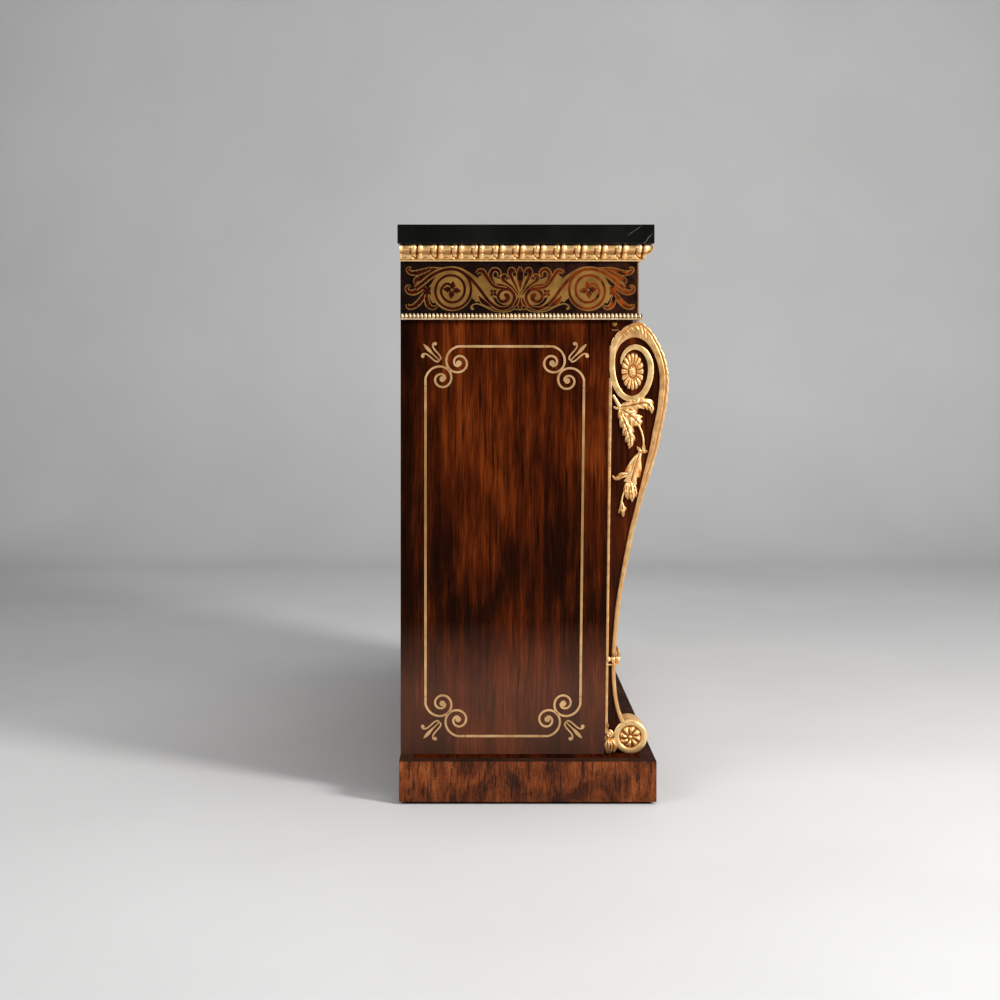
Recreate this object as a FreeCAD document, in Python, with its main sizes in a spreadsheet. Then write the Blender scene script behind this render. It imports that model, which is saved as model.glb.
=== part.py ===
# A brass-inlaid rosewood chiffonier with gilt scroll consoles, a marble top and a pair of doors
import FreeCAD, Part
import math
import os
import re
from FreeCAD import Placement, Rotation, Vector

# Driving sizes in millimetres: name, size, what it measures
SIZES = [
    ("runner_height", 4, "floor runners, floor to plinth"),
    ("runner_width", 30, "floor runners, across"),
    ("runner_inset", 10, "floor runners, in from the plinth's faces"),
    ("plinth_side_proud", 50, "plinth, beyond the side panels"),
    ("plinth_front_proud", 78.1, "plinth, ahead of the side panels' feet"),
    ("plinth_height", 63.4, "plinth boards, height"),
    ("plinth_board", 22, "plinth boards, thickness"),
    ("plinth_lid", 20, "plinth top board, thickness"),
    ("glue_block", 42, "plinth glue blocks, across and deep"),
    ("glue_block_lift", 6, "plinth glue blocks, clear of the boards' feet"),
    ("body_width", 1000, "cupboard over its side panels"),
    ("body_height", 693.6, "cupboard, plinth to soffit"),
    ("side_board", 22, "side panels, thickness"),
    ("side_depth_foot", 325.5, "side panels, depth at the foot"),
    ("front_rake", 7.8, "side panels, how far the front edge leans out at the head"),
    ("back_board", 10, "back panel, thickness"),
    ("bottom_board", 18, "cupboard bottom, thickness"),
    ("pilaster_width", 42, "pilasters, across"),
    ("pilaster_foot", 25.5, "pilasters, thickness at the foot"),
    ("shelf_board", 18, "shelves, thickness"),
    ("shelf_setback", 16, "shelves, front edge behind the doors"),
    ("shelf_play", 1, "shelves, gap to each side panel"),
    ("shelf_nosing", 4, "shelves, rounding of the front edges"),
    ("lower_shelf_rise", 230, "lower shelf, above the cupboard bottom"),
    ("upper_shelf_rise", 450, "upper shelf, above the cupboard bottom"),
    ("pin_radius", 3.5, "shelf pins, radius"),
    ("pin_depth", 12, "shelf pins, length in the side panel"),
    ("pin_play", 0.05, "shelf pins, radial clearance"),
    ("pin_plate", 4, "shelf pins, thickness of the bearing plate"),
    ("pin_plate_reach", 16, "shelf pins, length of the bearing plate"),
    ("pin_plate_width", 12, "shelf pins, width of the bearing plate"),
    ("pin_back_setting", 45, "shelf pins, behind the back panel's face"),
    ("pin_front_setting", 40, "shelf pins, behind the shelf's front"),
    ("frieze_side_proud", 5, "frieze, beyond the side panels"),
    ("frieze_front_proud", 46.7, "frieze, ahead of the side panels' heads"),
    ("frieze_show", 83, "frieze, between bead and cornice"),
    ("frieze_board", 25, "frieze boards, thickness"),
    ("frieze_rail", 22, "frieze back rail, thickness"),
    ("soffit_board", 18, "soffit board, thickness"),
    ("top_board", 18, "top board, thickness"),
    ("bead_height", 10, "bead strip, height"),
    ("bead_fillet_out", 3.5, "bead strip, projection of its fillet"),
    ("bead_radius", 3, "bead strip, radius of its round"),
    ("cornice_height", 26.5, "cornice, height"),
    ("cornice_out", 21, "cornice, projection of its round"),
    ("cornice_round", 14, "cornice, height of its round"),
    ("cornice_neck_out", 9, "cornice, projection under its round"),
    ("cornice_foot_out", 2.5, "cornice, projection of its foot fillet"),
    ("cornice_foot", 4, "cornice, height of its foot fillet"),
    ("marble_side_proud", 25, "marble, beyond the frieze's sides"),
    ("marble_thickness", 30.5, "marble, thickness"),
    ("marble_front_proud", 22.8, "marble, ahead of the frieze"),
    ("marble_back_lap", 3.6, "marble, back edge behind the plinth's back"),
    ("marble_arris", 1.5, "marble, rounding of its edges"),
    ("console_width", 54, "consoles, across"),
    ("console_inset", 2, "consoles, in from the side panel's face"),
    ("console_out", 95.2, "consoles, foremost point ahead of the side panels' heads"),
    ("console_head_gap", 2, "consoles, clear of the soffit"),
    ("core_recess", 3, "console cores, sunk below the edging"),
    ("edging_head", 9.5, "console edging, width at the head"),
    ("edging_foot", 7, "console edging, width at the foot"),
    ("strip_width", 6.4, "console edging, width along the back"),
    ("foot_radius", 26.4, "console foot rolls, radius"),
    ("foot_width", 50, "console foot rolls, length"),
    ("foot_out", 40.5, "console foot rolls, axis ahead of the side panels' feet"),
    ("roundel_radius", 19, "console foot roundels, radius"),
    ("roundel_raise", 2, "console foot roundels, proud of the roll's ends"),
    ("foot_block_height", 40, "console foot blocks, height"),
    ("foot_block_gap", 0.3, "console foot blocks, clear of the roll"),
    ("volute_out", 37.7, "volutes, centre ahead of the side panel's head"),
    ("volute_drop", 82.4, "volutes, centre below the soffit"),
    ("volute_half_width", 36, "volutes, half width of the outer turn"),
    ("volute_half_height", 54, "volutes, half height of the outer turn"),
    ("volute_band", 8, "volutes, width of the band"),
    ("rosette_half_width", 16, "rosettes, half width"),
    ("rosette_half_height", 27, "rosettes, half height"),
    ("rosette_raise", 5, "rosettes, proud of the core"),
    ("boss_half_width", 5, "rosette bosses, half width"),
    ("boss_half_height", 8, "rosette bosses, half height"),
    ("boss_raise", 3, "rosette bosses, proud of the petals"),
    ("leaf_raise", 4.5, "leaves, proud of the core"),
    ("leaf_drop", 7, "leaves, highest axis below the volute"),
    ("collar_rise", 143, "collars, above the plinth"),
    ("collar_height", 20, "collars, height"),
    ("collar_lap", 3, "collars, proud of the edging"),
    ("line_width", 4.5, "brass lines, width"),
    ("line_depth", 0.8, "brass lines, depth let in"),
    ("side_line_back", 36.7, "side line, in from the back edge"),
    ("side_line_front", 39, "side line, in from the front edge"),
    ("side_line_head", 40, "side line, below the soffit"),
    ("side_line_foot", 26.3, "side line, above the plinth"),
    ("side_line_corner", 62, "side line, length left out at each corner"),
    ("door_thickness", 22, "doors, thickness"),
    ("door_setback", 7.5, "doors, front face behind the side panels' feet"),
    ("door_gap", 3, "doors, gap at hinge side, head and foot"),
    ("meeting_gap", 2.5, "doors, gap where they meet"),
    ("stile_width", 60, "door stiles, width"),
    ("rail_width", 70, "door rails, width"),
    ("panel_thickness", 8, "door panels, thickness"),
    ("panel_setback", 8, "door panels, behind the door's face"),
    ("panel_tongue", 6, "door panels, depth in the grooves"),
    ("tenon_length", 30, "door rails, tenon length"),
    ("door_line_inset", 28, "door line, in from the panel's sight edge"),
    ("hinge_height", 60, "hinges, height"),
    ("hinge_rise", 95, "hinges, middle from the door's head or foot"),
    ("leaf_thickness", 1.5, "hinge leaves, thickness"),
    ("leaf_depth", 17, "hinge leaves, depth behind the door's face"),
    ("knuckle_radius", 4, "hinge knuckles, radius"),
    ("knuckle_gap", 0.25, "hinge knuckles, gap between them"),
    ("knuckle_clear", 0.3, "hinge knuckles, clear of the door's face"),
    ("knuckle_side_gap", 0.5, "hinge knuckles, clear of the pilaster"),
    ("hinge_pin_radius", 1.6, "hinge pins, radius"),
    ("hinge_pin_play", 0.05, "hinge pins, radial clearance"),
    ("lock_width", 45, "lock case, in from the meeting edge"),
    ("lock_height", 64, "lock case, height"),
    ("lock_depth", 13, "lock case, thickness"),
    ("lock_wall", 2, "lock case, wall"),
    ("bolt_length", 28, "lock bolt, length"),
    ("bolt_height", 16, "lock bolt, height"),
    ("bolt_rise", 6, "lock bolt, underside above the lock's middle"),
    ("bolt_thickness", 7, "lock bolt, thickness"),
    ("bolt_play", 0.3, "lock bolt, clearance in its slots"),
    ("pocket_depth", 8, "bolt pocket, depth in the other stile"),
    ("key_setting", 22, "key, in from the meeting edge"),
    ("key_drop", 10, "key, below the lock's middle"),
    ("key_radius", 2.5, "key shank, radius"),
    ("key_play", 0.08, "key shank, radial clearance"),
    ("key_hole", 4.5, "key hole through the stile, radius"),
    ("key_bit", 9, "key bit, reach from the axis"),
    ("key_bit_thickness", 2, "key bit, thickness"),
    ("key_bit_length", 5, "key bit, length along the shank"),
    ("key_tail", 2, "key shank, clear of the lock's back wall"),
    ("key_reach", 13, "key shank, ahead of the door's face"),
    ("bow_radius", 9, "key bow, radius of its ring"),
    ("bow_wire", 2, "key bow, radius of its section"),
    ("escutcheon_width", 20, "escutcheon, width"),
    ("escutcheon_height", 36, "escutcheon, height"),
    ("escutcheon_thickness", 1.2, "escutcheon, thickness"),
    ("escutcheon_corner", 4, "escutcheon, rounding of its corners"),
    ("rod_radius", 4, "flush bolts, radius"),
    ("rod_play", 0.05, "flush bolts, radial clearance"),
    ("rod_length", 110, "flush bolts, length"),
    ("rod_setting", 14, "flush bolts, in from the meeting edge"),
    ("rod_sink", 1, "flush bolts, below the door's edge when drawn"),
    ("rod_throw", 11, "flush bolts, travel"),
    ("rod_socket_play", 0.5, "flush bolt sockets, radial clearance"),
    ("rod_socket_depth", 12, "flush bolt sockets, depth"),
    ("knob_radius", 3, "flush bolt knobs, radius"),
    ("knob_play", 0.2, "flush bolt knobs, clearance in their slots"),
    ("knob_reach", 10, "flush bolt knobs, behind the door"),
    ("knob_setting", 25, "flush bolt knobs, from the bolt's inner end"),
    ("overrun", 60, "how far cutting blocks run past what they cut"),
]

# The consoles' outer outline, from its head on the body's front over the scroll down to the foot roll:
# shares of the console's projection and of its height above the roll
OUTLINE_SHARES = [
    (0, 0.9329), (0.102, 0.9654), (0.27, 0.9843), (0.501, 1), (0.69, 0.9816),
    (0.816, 0.9513), (0.96, 0.8971), (1, 0.8403), (0.96, 0.7835), (0.911, 0.7477),
    (0.743, 0.6449), (0.543, 0.5442), (0.354, 0.4273), (0.196, 0.3017), (0.123, 0.1793),
    (0.112, 0.1252), (0.165, 0.0462), (0.255, 0.0105), (0.3855, 0),
]

# Leaves on the console's faces: start and tip as shares of the console's reach at their heights and of
# the height between foot roll and volute, and the greatest width as a share of the length
LEAF_SHARES = [
    (0.223, 0.998, 0.784, 0.995, 0.22),
    (0.2047, 0.985, 0.435, 0.883, 0.25),
    (0.6653, 0.875, 0.684, 0.717, 0.28),
]

# How far forward the leg stands inside its collar, as a share of the console's projection
COLLAR_SHARE = 0.132

# How far the volute's band has drawn in by the end of its turn, as a share of the outer turn
VOLUTE_DRAW_SHARE = 0.4
VOLUTE_POINTS = 17

ALIASES = {name for name, _, _ in SIZES}
WORD = re.compile(r"[A-Za-z_][A-Za-z_0-9]*")
AHEAD = Rotation(Vector(1, 0, 0), 90)
ACROSS = Rotation(Vector(0, 1, 0), 90)
UPRIGHT = Rotation()

# Heights and places worked out from the driving sizes
SIDE_HEAD = "(side_depth_foot + front_rake)"
PLINTH_WIDTH = "(body_width + 2 * plinth_side_proud)"
PLINTH_DEPTH = "(side_depth_foot + plinth_front_proud)"
FRIEZE_WIDTH = "(body_width + 2 * frieze_side_proud)"
FRIEZE_DEPTH = f"({SIDE_HEAD} + frieze_front_proud)"
MARBLE_WIDTH = f"({FRIEZE_WIDTH} + 2 * marble_side_proud)"
MARBLE_FRONT = f"({FRIEZE_DEPTH} + marble_front_proud)"
CONSOLE_REACH = f"({SIDE_HEAD} + console_out)"
FOOT_FORWARD = "(side_depth_foot + foot_out)"
COLLAR_FRONT = f"({SIDE_HEAD} + {COLLAR_SHARE} * console_out + collar_lap)"
DOOR_FACE = "(side_depth_foot - door_setback)"
BACK_Y = f"(({CONSOLE_REACH} - marble_back_lap) / 2)"
PLINTH_TOP = "(runner_height + plinth_height)"
SOFFIT = f"({PLINTH_TOP} + body_height)"
CORNICE_FOOT = f"({SOFFIT} + bead_height + frieze_show)"
FRIEZE_TOP = f"({CORNICE_FOOT} + cornice_height)"
MARBLE_TOP = f"({FRIEZE_TOP} + marble_thickness)"
BOTTOM_TOP = f"({PLINTH_TOP} + bottom_board)"
INNER_HALF = "(body_width / 2 - side_board)"
OPENING_HALF = f"({INNER_HALF} - pilaster_width)"
FRIEZE_INNER = f"({FRIEZE_WIDTH} / 2 - frieze_board)"
RAKE_ANGLE = "atan(front_rake / body_height)"
CONSOLE_OUTER = "(body_width / 2 - console_inset)"
CONSOLE_MIDDLE = f"({CONSOLE_OUTER} - console_width / 2)"
DOOR_BACK = f"({DOOR_FACE} - door_thickness)"
SHELF_FRONT = f"({DOOR_BACK} - shelf_setback)"
DOOR_EDGE = f"({OPENING_HALF} - door_gap)"
DOOR_FOOT = f"({PLINTH_TOP} + door_gap)"
DOOR_HEAD = f"({SOFFIT} - door_gap)"
DOOR_MIDDLE = f"(({DOOR_FOOT} + {DOOR_HEAD}) / 2)"
PANEL_FRONT = f"({DOOR_FACE} - panel_setback)"
PANEL_BACK = f"({PANEL_FRONT} - panel_thickness)"
HINGE_X = f"({OPENING_HALF} - knuckle_side_gap - knuckle_radius)"
HINGE_FORWARD = f"({DOOR_FACE} + knuckle_clear + knuckle_radius)"

doc = FreeCAD.newDocument("chiffonier")
sheet = doc.addObject("Spreadsheet::Sheet", "Sizes")
nodes = []


def fill_sheet():
    """Write each driving size to the sheet with its meaning, and name its cell."""
    for row, (name, number, meaning) in enumerate(SIZES, start=1):
        sheet.set(f"A{row}", meaning)
        sheet.set(f"B{row}", str(number))
        sheet.setAlias(f"B{row}", name)
    doc.recompute()


def bind(item, prop, formula):
    """Tie a property to a formula in the sheet's names."""
    def qualify(match):
        word = match.group(0)
        return f"Sizes.{word}" if word in ALIASES else word
    item.setExpression(prop, WORD.sub(qualify, formula))


def size(formula):
    """The present value of a formula in the sheet's names."""
    return float(sheet.evalExpression(formula))


def keep(item, label):
    """Name a finished sub-part and put it on the list of nodes."""
    item.Label = label
    nodes.append(item)
    return item


def board(x, forward, z, name="board"):
    """A squared board between two planes across, two planes forward and two heights."""
    box = doc.addObject("Part::Box", name)
    bind(box, "Length", f"({x[1]}) - ({x[0]})")
    bind(box, "Width", f"({forward[1]}) - ({forward[0]})")
    bind(box, "Height", f"({z[1]}) - ({z[0]})")
    bind(box, "Placement.Base.x", x[0])
    bind(box, "Placement.Base.y", f"{BACK_Y} - ({forward[1]})")
    bind(box, "Placement.Base.z", z[0])
    return box


def rounded_board(x, forward, z, radius, chosen, name):
    """A board whose chosen edges are rounded; chosen tells an edge by its middle and the board's box."""
    body = doc.addObject("PartDesign::Body", name)
    block = body.newObject("PartDesign::AdditiveBox", f"{name}_block")
    bind(block, "Length", f"({x[1]}) - ({x[0]})")
    bind(block, "Width", f"({forward[1]}) - ({forward[0]})")
    bind(block, "Height", f"({z[1]}) - ({z[0]})")
    bind(body, "Placement.Base.x", x[0])
    bind(body, "Placement.Base.y", f"{BACK_Y} - ({forward[1]})")
    bind(body, "Placement.Base.z", z[0])
    doc.recompute()
    bounds = block.Shape.BoundBox
    edges = [f"Edge{number}" for number, edge in enumerate(block.Shape.Edges, start=1)
             if chosen(edge.CenterOfMass, bounds)]
    rounding = body.newObject("PartDesign::Fillet", f"{name}_rounding")
    rounding.Base = (block, edges)
    bind(rounding, "Radius", radius)
    return body


def rod(x, forward, z, radius, length, turn, name="rod"):
    """A cylinder from a starting point along the turn's direction: ahead, across or upright."""
    cylinder = doc.addObject("Part::Cylinder", name)
    bind(cylinder, "Radius", radius)
    bind(cylinder, "Height", length)
    cylinder.Placement = Placement(Vector(), turn)
    bind(cylinder, "Placement.Base.x", x)
    bind(cylinder, "Placement.Base.y", f"{BACK_Y} - ({forward})")
    bind(cylinder, "Placement.Base.z", z)
    return cylinder


def joined(pieces, name="joined"):
    """Pieces that meet, joined into one solid."""
    item = doc.addObject("Part::MultiFuse", name)
    item.Shapes = pieces
    item.Refine = True
    return item


def cut(base, tools, name="cut"):
    """A base with the tools taken out of it."""
    item = doc.addObject("Part::Cut", name)
    item.Base = base
    item.Tool = tools[0] if len(tools) == 1 else joined(tools, f"{name}_tools")
    return item


def shared(base, tool, name="shared"):
    """The part of a base that lies inside the tool."""
    item = doc.addObject("Part::Common", name)
    item.Base = base
    item.Tool = tool
    return item


def mirrored(source, name="mirrored"):
    """The right-hand copy of a left-hand piece."""
    item = doc.addObject("Part::Mirroring", name)
    item.Source = source
    item.Normal = Vector(1, 0, 0)
    return item


def group(pieces, label):
    """Like pieces that stay separate solids of one node."""
    item = doc.addObject("Part::Compound", label)
    item.Links = pieces
    return keep(item, label)


def keep_pair(left, stem):
    """A left-hand piece and its right-hand copy, each a node of its own."""
    keep(left, f"{stem}_left")
    keep(mirrored(left), f"{stem}_right")


def make_plinth():
    """Floor runners, four plinth boards, their lid and the glue blocks inside."""
    half = f"{PLINTH_WIDTH} / 2"
    inner = f"({half} - plinth_board)"
    front = f"({PLINTH_DEPTH} - plinth_board)"
    height = ("runner_height", PLINTH_TOP)
    floor = ("0", "runner_height")
    run = ("runner_inset", f"{PLINTH_DEPTH} - runner_inset")
    outer = f"({half} - runner_inset)"
    left_runner = board((f"-{outer}", f"runner_width - {outer}"), run, floor)
    ahead = (f"{PLINTH_DEPTH} - runner_inset - runner_width", f"{PLINTH_DEPTH} - runner_inset")
    front_runner = board((f"runner_width - {outer}", f"{outer} - runner_width"), ahead, floor)
    group([left_runner, mirrored(left_runner), front_runner], "floor_runners")
    keep_pair(board((f"-{half}", f"-{inner}"), ("0", PLINTH_DEPTH), height), "plinth_side")
    keep(board((f"-{inner}", inner), (front, PLINTH_DEPTH), height), "plinth_front")
    keep(board((f"-{inner}", inner), ("0", "plinth_board"), height), "plinth_back")
    lid_under = f"({PLINTH_TOP} - plinth_lid)"
    lid = board((f"-{inner}", inner), ("plinth_board", front), (lid_under, PLINTH_TOP))
    socket = rod("-(meeting_gap / 2 + rod_setting)", f"{DOOR_BACK} + door_thickness / 2",
                 f"{PLINTH_TOP} - rod_socket_depth", "rod_radius + rod_socket_play",
                 "rod_socket_depth + overrun", UPRIGHT)
    keep(cut(lid, [socket]), "plinth_lid")
    blocks = []
    for near, far in (("plinth_board", "plinth_board + glue_block"), (f"{front} - glue_block", front)):
        block = board((f"-{inner}", f"glue_block - {inner}"), (near, far),
                      ("runner_height + glue_block_lift", lid_under))
        blocks += [block, mirrored(block)]
    group(blocks, "plinth_glue_blocks")


def make_rake_block():
    """The space behind the raked plane of the body's front, as a cutting block."""
    block = doc.addObject("Part::Box", "behind_front")
    block.Placement = Placement(Vector(), Rotation(Vector(1, 0, 0), 0))
    bind(block, "Placement.Rotation.Angle", RAKE_ANGLE)
    bind(block, "Length", "body_width + 2 * overrun")
    bind(block, "Width", "side_depth_foot + front_rake + overrun")
    bind(block, "Height", "body_height + 2 * overrun")
    bind(block, "Placement.Base.x", "-body_width / 2 - overrun")
    bind(block, "Placement.Base.y", f"{BACK_Y} - side_depth_foot + overrun * sin({RAKE_ANGLE})")
    bind(block, "Placement.Base.z", f"{PLINTH_TOP} - overrun * cos({RAKE_ANGLE})")
    return block


def shelf_heights():
    """The underside of each shelf."""
    return [f"({BOTTOM_TOP} + lower_shelf_rise)", f"({BOTTOM_TOP} + upper_shelf_rise)"]


def pin_settings():
    """How far forward the shelf pins stand."""
    return ["(back_board + pin_back_setting)", f"({SHELF_FRONT} - pin_front_setting)"]


def make_side_lines():
    """The left side panel's brass line: four straight lengths, the front one along the raked edge."""
    face = "body_width / 2"
    across = (f"-{face}", f"line_depth - {face}")
    head = f"({SOFFIT} - side_line_head)"
    foot = f"({PLINTH_TOP} + side_line_foot)"
    front = "(side_depth_foot - side_line_front)"
    level = ("side_line_back + side_line_corner", f"{front} - side_line_corner")
    upright = (f"{foot} + side_line_corner", f"{head} - side_line_corner")
    lines = [
        board(across, level, (f"{head} - line_width", head)),
        board(across, level, (foot, f"{foot} + line_width")),
        board(across, ("side_line_back", "side_line_back + line_width"), upright),
    ]
    raked = doc.addObject("Part::Box", "raked_line")
    raked.Placement = Placement(Vector(), Rotation(Vector(1, 0, 0), 0))
    bind(raked, "Placement.Rotation.Angle", RAKE_ANGLE)
    bind(raked, "Length", "line_depth")
    bind(raked, "Width", "line_width")
    bind(raked, "Height", f"({upright[1]}) - ({upright[0]})")
    bind(raked, "Placement.Base.x", across[0])
    rise = "(side_line_foot + side_line_corner)"
    lean = f"{rise} * front_rake / body_height"
    bind(raked, "Placement.Base.y", f"{BACK_Y} - {front} - {lean}")
    bind(raked, "Placement.Base.z", upright[0])
    return lines + [raked]


def make_body(behind):
    """Side panels with their lines, pilasters, bottom, back panel, shelves and shelf pins."""
    height = (PLINTH_TOP, SOFFIT)
    holes = []
    pins = []
    for under in shelf_heights():
        for forward in pin_settings():
            middle = f"({under} - pin_plate)"
            holes.append(rod(f"-({INNER_HALF} + pin_depth)", forward, middle,
                             "pin_radius + pin_play", "pin_depth + overrun", ACROSS))
            shank = rod(f"-({INNER_HALF} + pin_depth)", forward, middle,
                        "pin_radius", "pin_depth + pin_plate_reach / 2", ACROSS)
            plate = board((f"-{INNER_HALF}", f"pin_plate_reach - {INNER_HALF}"),
                          (f"{forward} - pin_plate_width / 2", f"{forward} + pin_plate_width / 2"),
                          (middle, under))
            pin = joined([shank, plate], "shelf_pin")
            pins += [pin, mirrored(pin)]
    group(pins, "shelf_pins")
    lines = make_side_lines()
    blank = board(("-body_width / 2", f"-{INNER_HALF}"), ("0", f"{SIDE_HEAD} + overrun"), height)
    keep_pair(cut(shared(blank, behind), holes + lines), "side")
    group(lines + [mirrored(line) for line in lines], "side_brass_lines")
    back = "(side_depth_foot - pilaster_foot)"
    stick = board((f"-{INNER_HALF}", f"-{OPENING_HALF}"), (back, f"{SIDE_HEAD} + overrun"), height)
    mortises = [hinge_plate_fixed(middle) for middle in hinge_heights()]
    keep_pair(cut(shared(stick, behind), mortises), "pilaster")
    inside = (f"-{INNER_HALF}", INNER_HALF)
    keep(board(inside, ("0", "back_board"), height), "back_panel")
    keep(board(inside, ("back_board", f"{DOOR_BACK} - knuckle_clear"), (PLINTH_TOP, BOTTOM_TOP)),
         "cupboard_bottom")
    between = (f"shelf_play - {INNER_HALF}", f"{INNER_HALF} - shelf_play")
    for under, label in zip(shelf_heights(), ("shelf_lower", "shelf_upper")):
        shelf = rounded_board(between, ("back_board", SHELF_FRONT),
                              (under, f"{under} + shelf_board"), "shelf_nosing", is_front_long, label)
        keep(shelf, label)


def is_front_long(middle, bounds):
    """Tell the two long edges at a board's front."""
    slack = bounds.YLength / 2
    return middle.y < bounds.YMin + slack / 2 and abs(middle.x - bounds.Center.x) < slack / 2


def is_any(middle, bounds):
    """Take every edge."""
    return True


def make_mitre_blocks():
    """Two cutting blocks that meet in the left corner's mitre plane: its front side and its rear side."""
    blocks = []
    reach = f"({FRIEZE_WIDTH} / 2 + {FRIEZE_DEPTH})"
    for angle, sign in ((225, "+"), (45, "-")):
        block = doc.addObject("Part::Box", "mitre")
        block.Placement = Placement(Vector(), Rotation(Vector(0, 0, 1), angle))
        bind(block, "Length", f"2 * {reach}")
        bind(block, "Width", f"2 * {reach}")
        bind(block, "Height", f"{MARBLE_TOP} - {PLINTH_TOP}")
        shift = f"{reach} * sqrt(2) / 2"
        bind(block, "Placement.Base.x", f"-{FRIEZE_WIDTH} / 2 {sign} {shift}")
        bind(block, "Placement.Base.y", f"{BACK_Y} - {FRIEZE_DEPTH} {sign} {shift}")
        bind(block, "Placement.Base.z", PLINTH_TOP)
        blocks.append(block)
    return blocks


def mitred_run(stem, side_blank, front_blank, mitres):
    """A run of moulding or board round the left side, front and right side, mitred at the corners."""
    front_side, rear_side = mitres
    keep_pair(cut(side_blank, [front_side]), stem)
    keep(cut(cut(front_blank, [rear_side]), [mirrored(rear_side)]), f"{stem}_front")


def side_bar(out, z):
    """A bar of moulding along the left side, from one projection to another."""
    return board((f"-{FRIEZE_WIDTH} / 2 - ({out[1]})", f"-{FRIEZE_WIDTH} / 2 - ({out[0]})"),
                 ("0", f"{FRIEZE_DEPTH} + cornice_out"), z)


def front_bar(out, z):
    """A bar of moulding along the front, from one projection to another."""
    half = f"({FRIEZE_WIDTH} / 2 + cornice_out)"
    return board((f"-{half}", half), (f"{FRIEZE_DEPTH} + {out[0]}", f"{FRIEZE_DEPTH} + {out[1]}"), z)


def side_round(out, z, radius):
    """A round of moulding along the left side."""
    length = f"{FRIEZE_DEPTH} + cornice_out"
    return rod(f"-{FRIEZE_WIDTH} / 2 - ({out})", "0", z, radius, length, AHEAD)


def front_round(out, z, radius):
    """A round of moulding along the front."""
    half = f"({FRIEZE_WIDTH} / 2 + cornice_out)"
    return rod(f"-{half}", f"{FRIEZE_DEPTH} + {out}", z, radius, f"2 * {half}", ACROSS)


def cornice_blank(bar, round_bar):
    """The cornice before mitring: a round over a hollow neck and a foot fillet."""
    neck_top = f"({FRIEZE_TOP} - cornice_round)"
    radius = "(cornice_round / 2)"
    middle = f"({FRIEZE_TOP} - {radius})"
    head = bar(("0", f"cornice_out - {radius}"), (neck_top, FRIEZE_TOP))
    torus = round_bar(f"cornice_out - {radius}", middle, radius)
    neck = bar(("0", "cornice_neck_out"), (CORNICE_FOOT, neck_top))
    hollow = "(cornice_neck_out - cornice_foot_out)"
    above_foot = f"({CORNICE_FOOT} + cornice_foot)"
    cove = round_bar("cornice_neck_out", above_foot, hollow)
    below = bar(("cornice_foot_out", "cornice_out"), (CORNICE_FOOT, above_foot))
    return joined([head, torus, cut(neck, [cove, below])], "cornice_blank")


def bead_blank(bar, round_bar):
    """The bead strip before mitring: a fillet with a round along its foot."""
    fillet = bar(("0", "bead_fillet_out"), (SOFFIT, f"{SOFFIT} + bead_height"))
    bead = round_bar("bead_radius", f"{SOFFIT} + bead_radius", "bead_radius")
    return joined([fillet, bead], "bead_blank")


def make_frieze():
    """The frieze box with its soffit and top board, the bead strips, the cornice and the marble."""
    mitres = make_mitre_blocks()
    height = (SOFFIT, FRIEZE_TOP)
    side_blank = board((f"-{FRIEZE_WIDTH} / 2", f"-{FRIEZE_INNER}"), ("0", FRIEZE_DEPTH), height)
    front_blank = board((f"-{FRIEZE_WIDTH} / 2", f"{FRIEZE_WIDTH} / 2"),
                        (f"{FRIEZE_DEPTH} - frieze_board", FRIEZE_DEPTH), height)
    mitred_run("frieze", side_blank, front_blank, mitres)
    mitred_run("bead", bead_blank(side_bar, side_round), bead_blank(front_bar, front_round), mitres)
    mitred_run("cornice", cornice_blank(side_bar, side_round),
               cornice_blank(front_bar, front_round), mitres)
    inside = (f"-{FRIEZE_INNER}", FRIEZE_INNER)
    depth = ("frieze_rail", f"{FRIEZE_DEPTH} - frieze_board")
    keep(board(inside, ("0", "frieze_rail"), height), "frieze_back")
    soffit = board(inside, depth, (SOFFIT, f"{SOFFIT} + soffit_board"))
    socket = rod("-(meeting_gap / 2 + rod_setting)", f"{DOOR_BACK} + door_thickness / 2",
                 f"{SOFFIT} - overrun", "rod_radius + rod_socket_play",
                 "rod_socket_depth + overrun", UPRIGHT)
    keep(cut(soffit, [socket]), "soffit")
    keep(board(inside, depth, (f"{FRIEZE_TOP} - top_board", FRIEZE_TOP)), "top_board")
    across = (f"-{MARBLE_WIDTH} / 2", f"{MARBLE_WIDTH} / 2")
    marble = rounded_board(across, ("-marble_back_lap", MARBLE_FRONT),
                           (FRIEZE_TOP, MARBLE_TOP), "marble_arris", is_any, "marble_top")
    keep(marble, "marble_top")


def spot(x, forward, height):
    """The point that far across, ahead of the plinth's back and above the floor."""
    return Vector(x, size(BACK_Y) - forward, height)


def front_at(height):
    """How far forward the raked front of the body stands at a height."""
    lean = (height - size(PLINTH_TOP)) / size("body_height")
    return size("side_depth_foot") + size("front_rake") * lean


def console_place(out_share, rise_share):
    """A place on the console's face, from shares of its projection and its height above the foot roll."""
    head = size(SIDE_HEAD)
    forward = head + out_share * (size(CONSOLE_REACH) - head)
    roll_top = size(f"{PLINTH_TOP} + 2 * foot_radius")
    height = roll_top + rise_share * (size(f"{SOFFIT} - console_head_gap") - roll_top)
    return forward, height


def spline(points):
    """A smooth curve through points."""
    curve = Part.BSplineCurve()
    curve.interpolate(points)
    return curve


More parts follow.
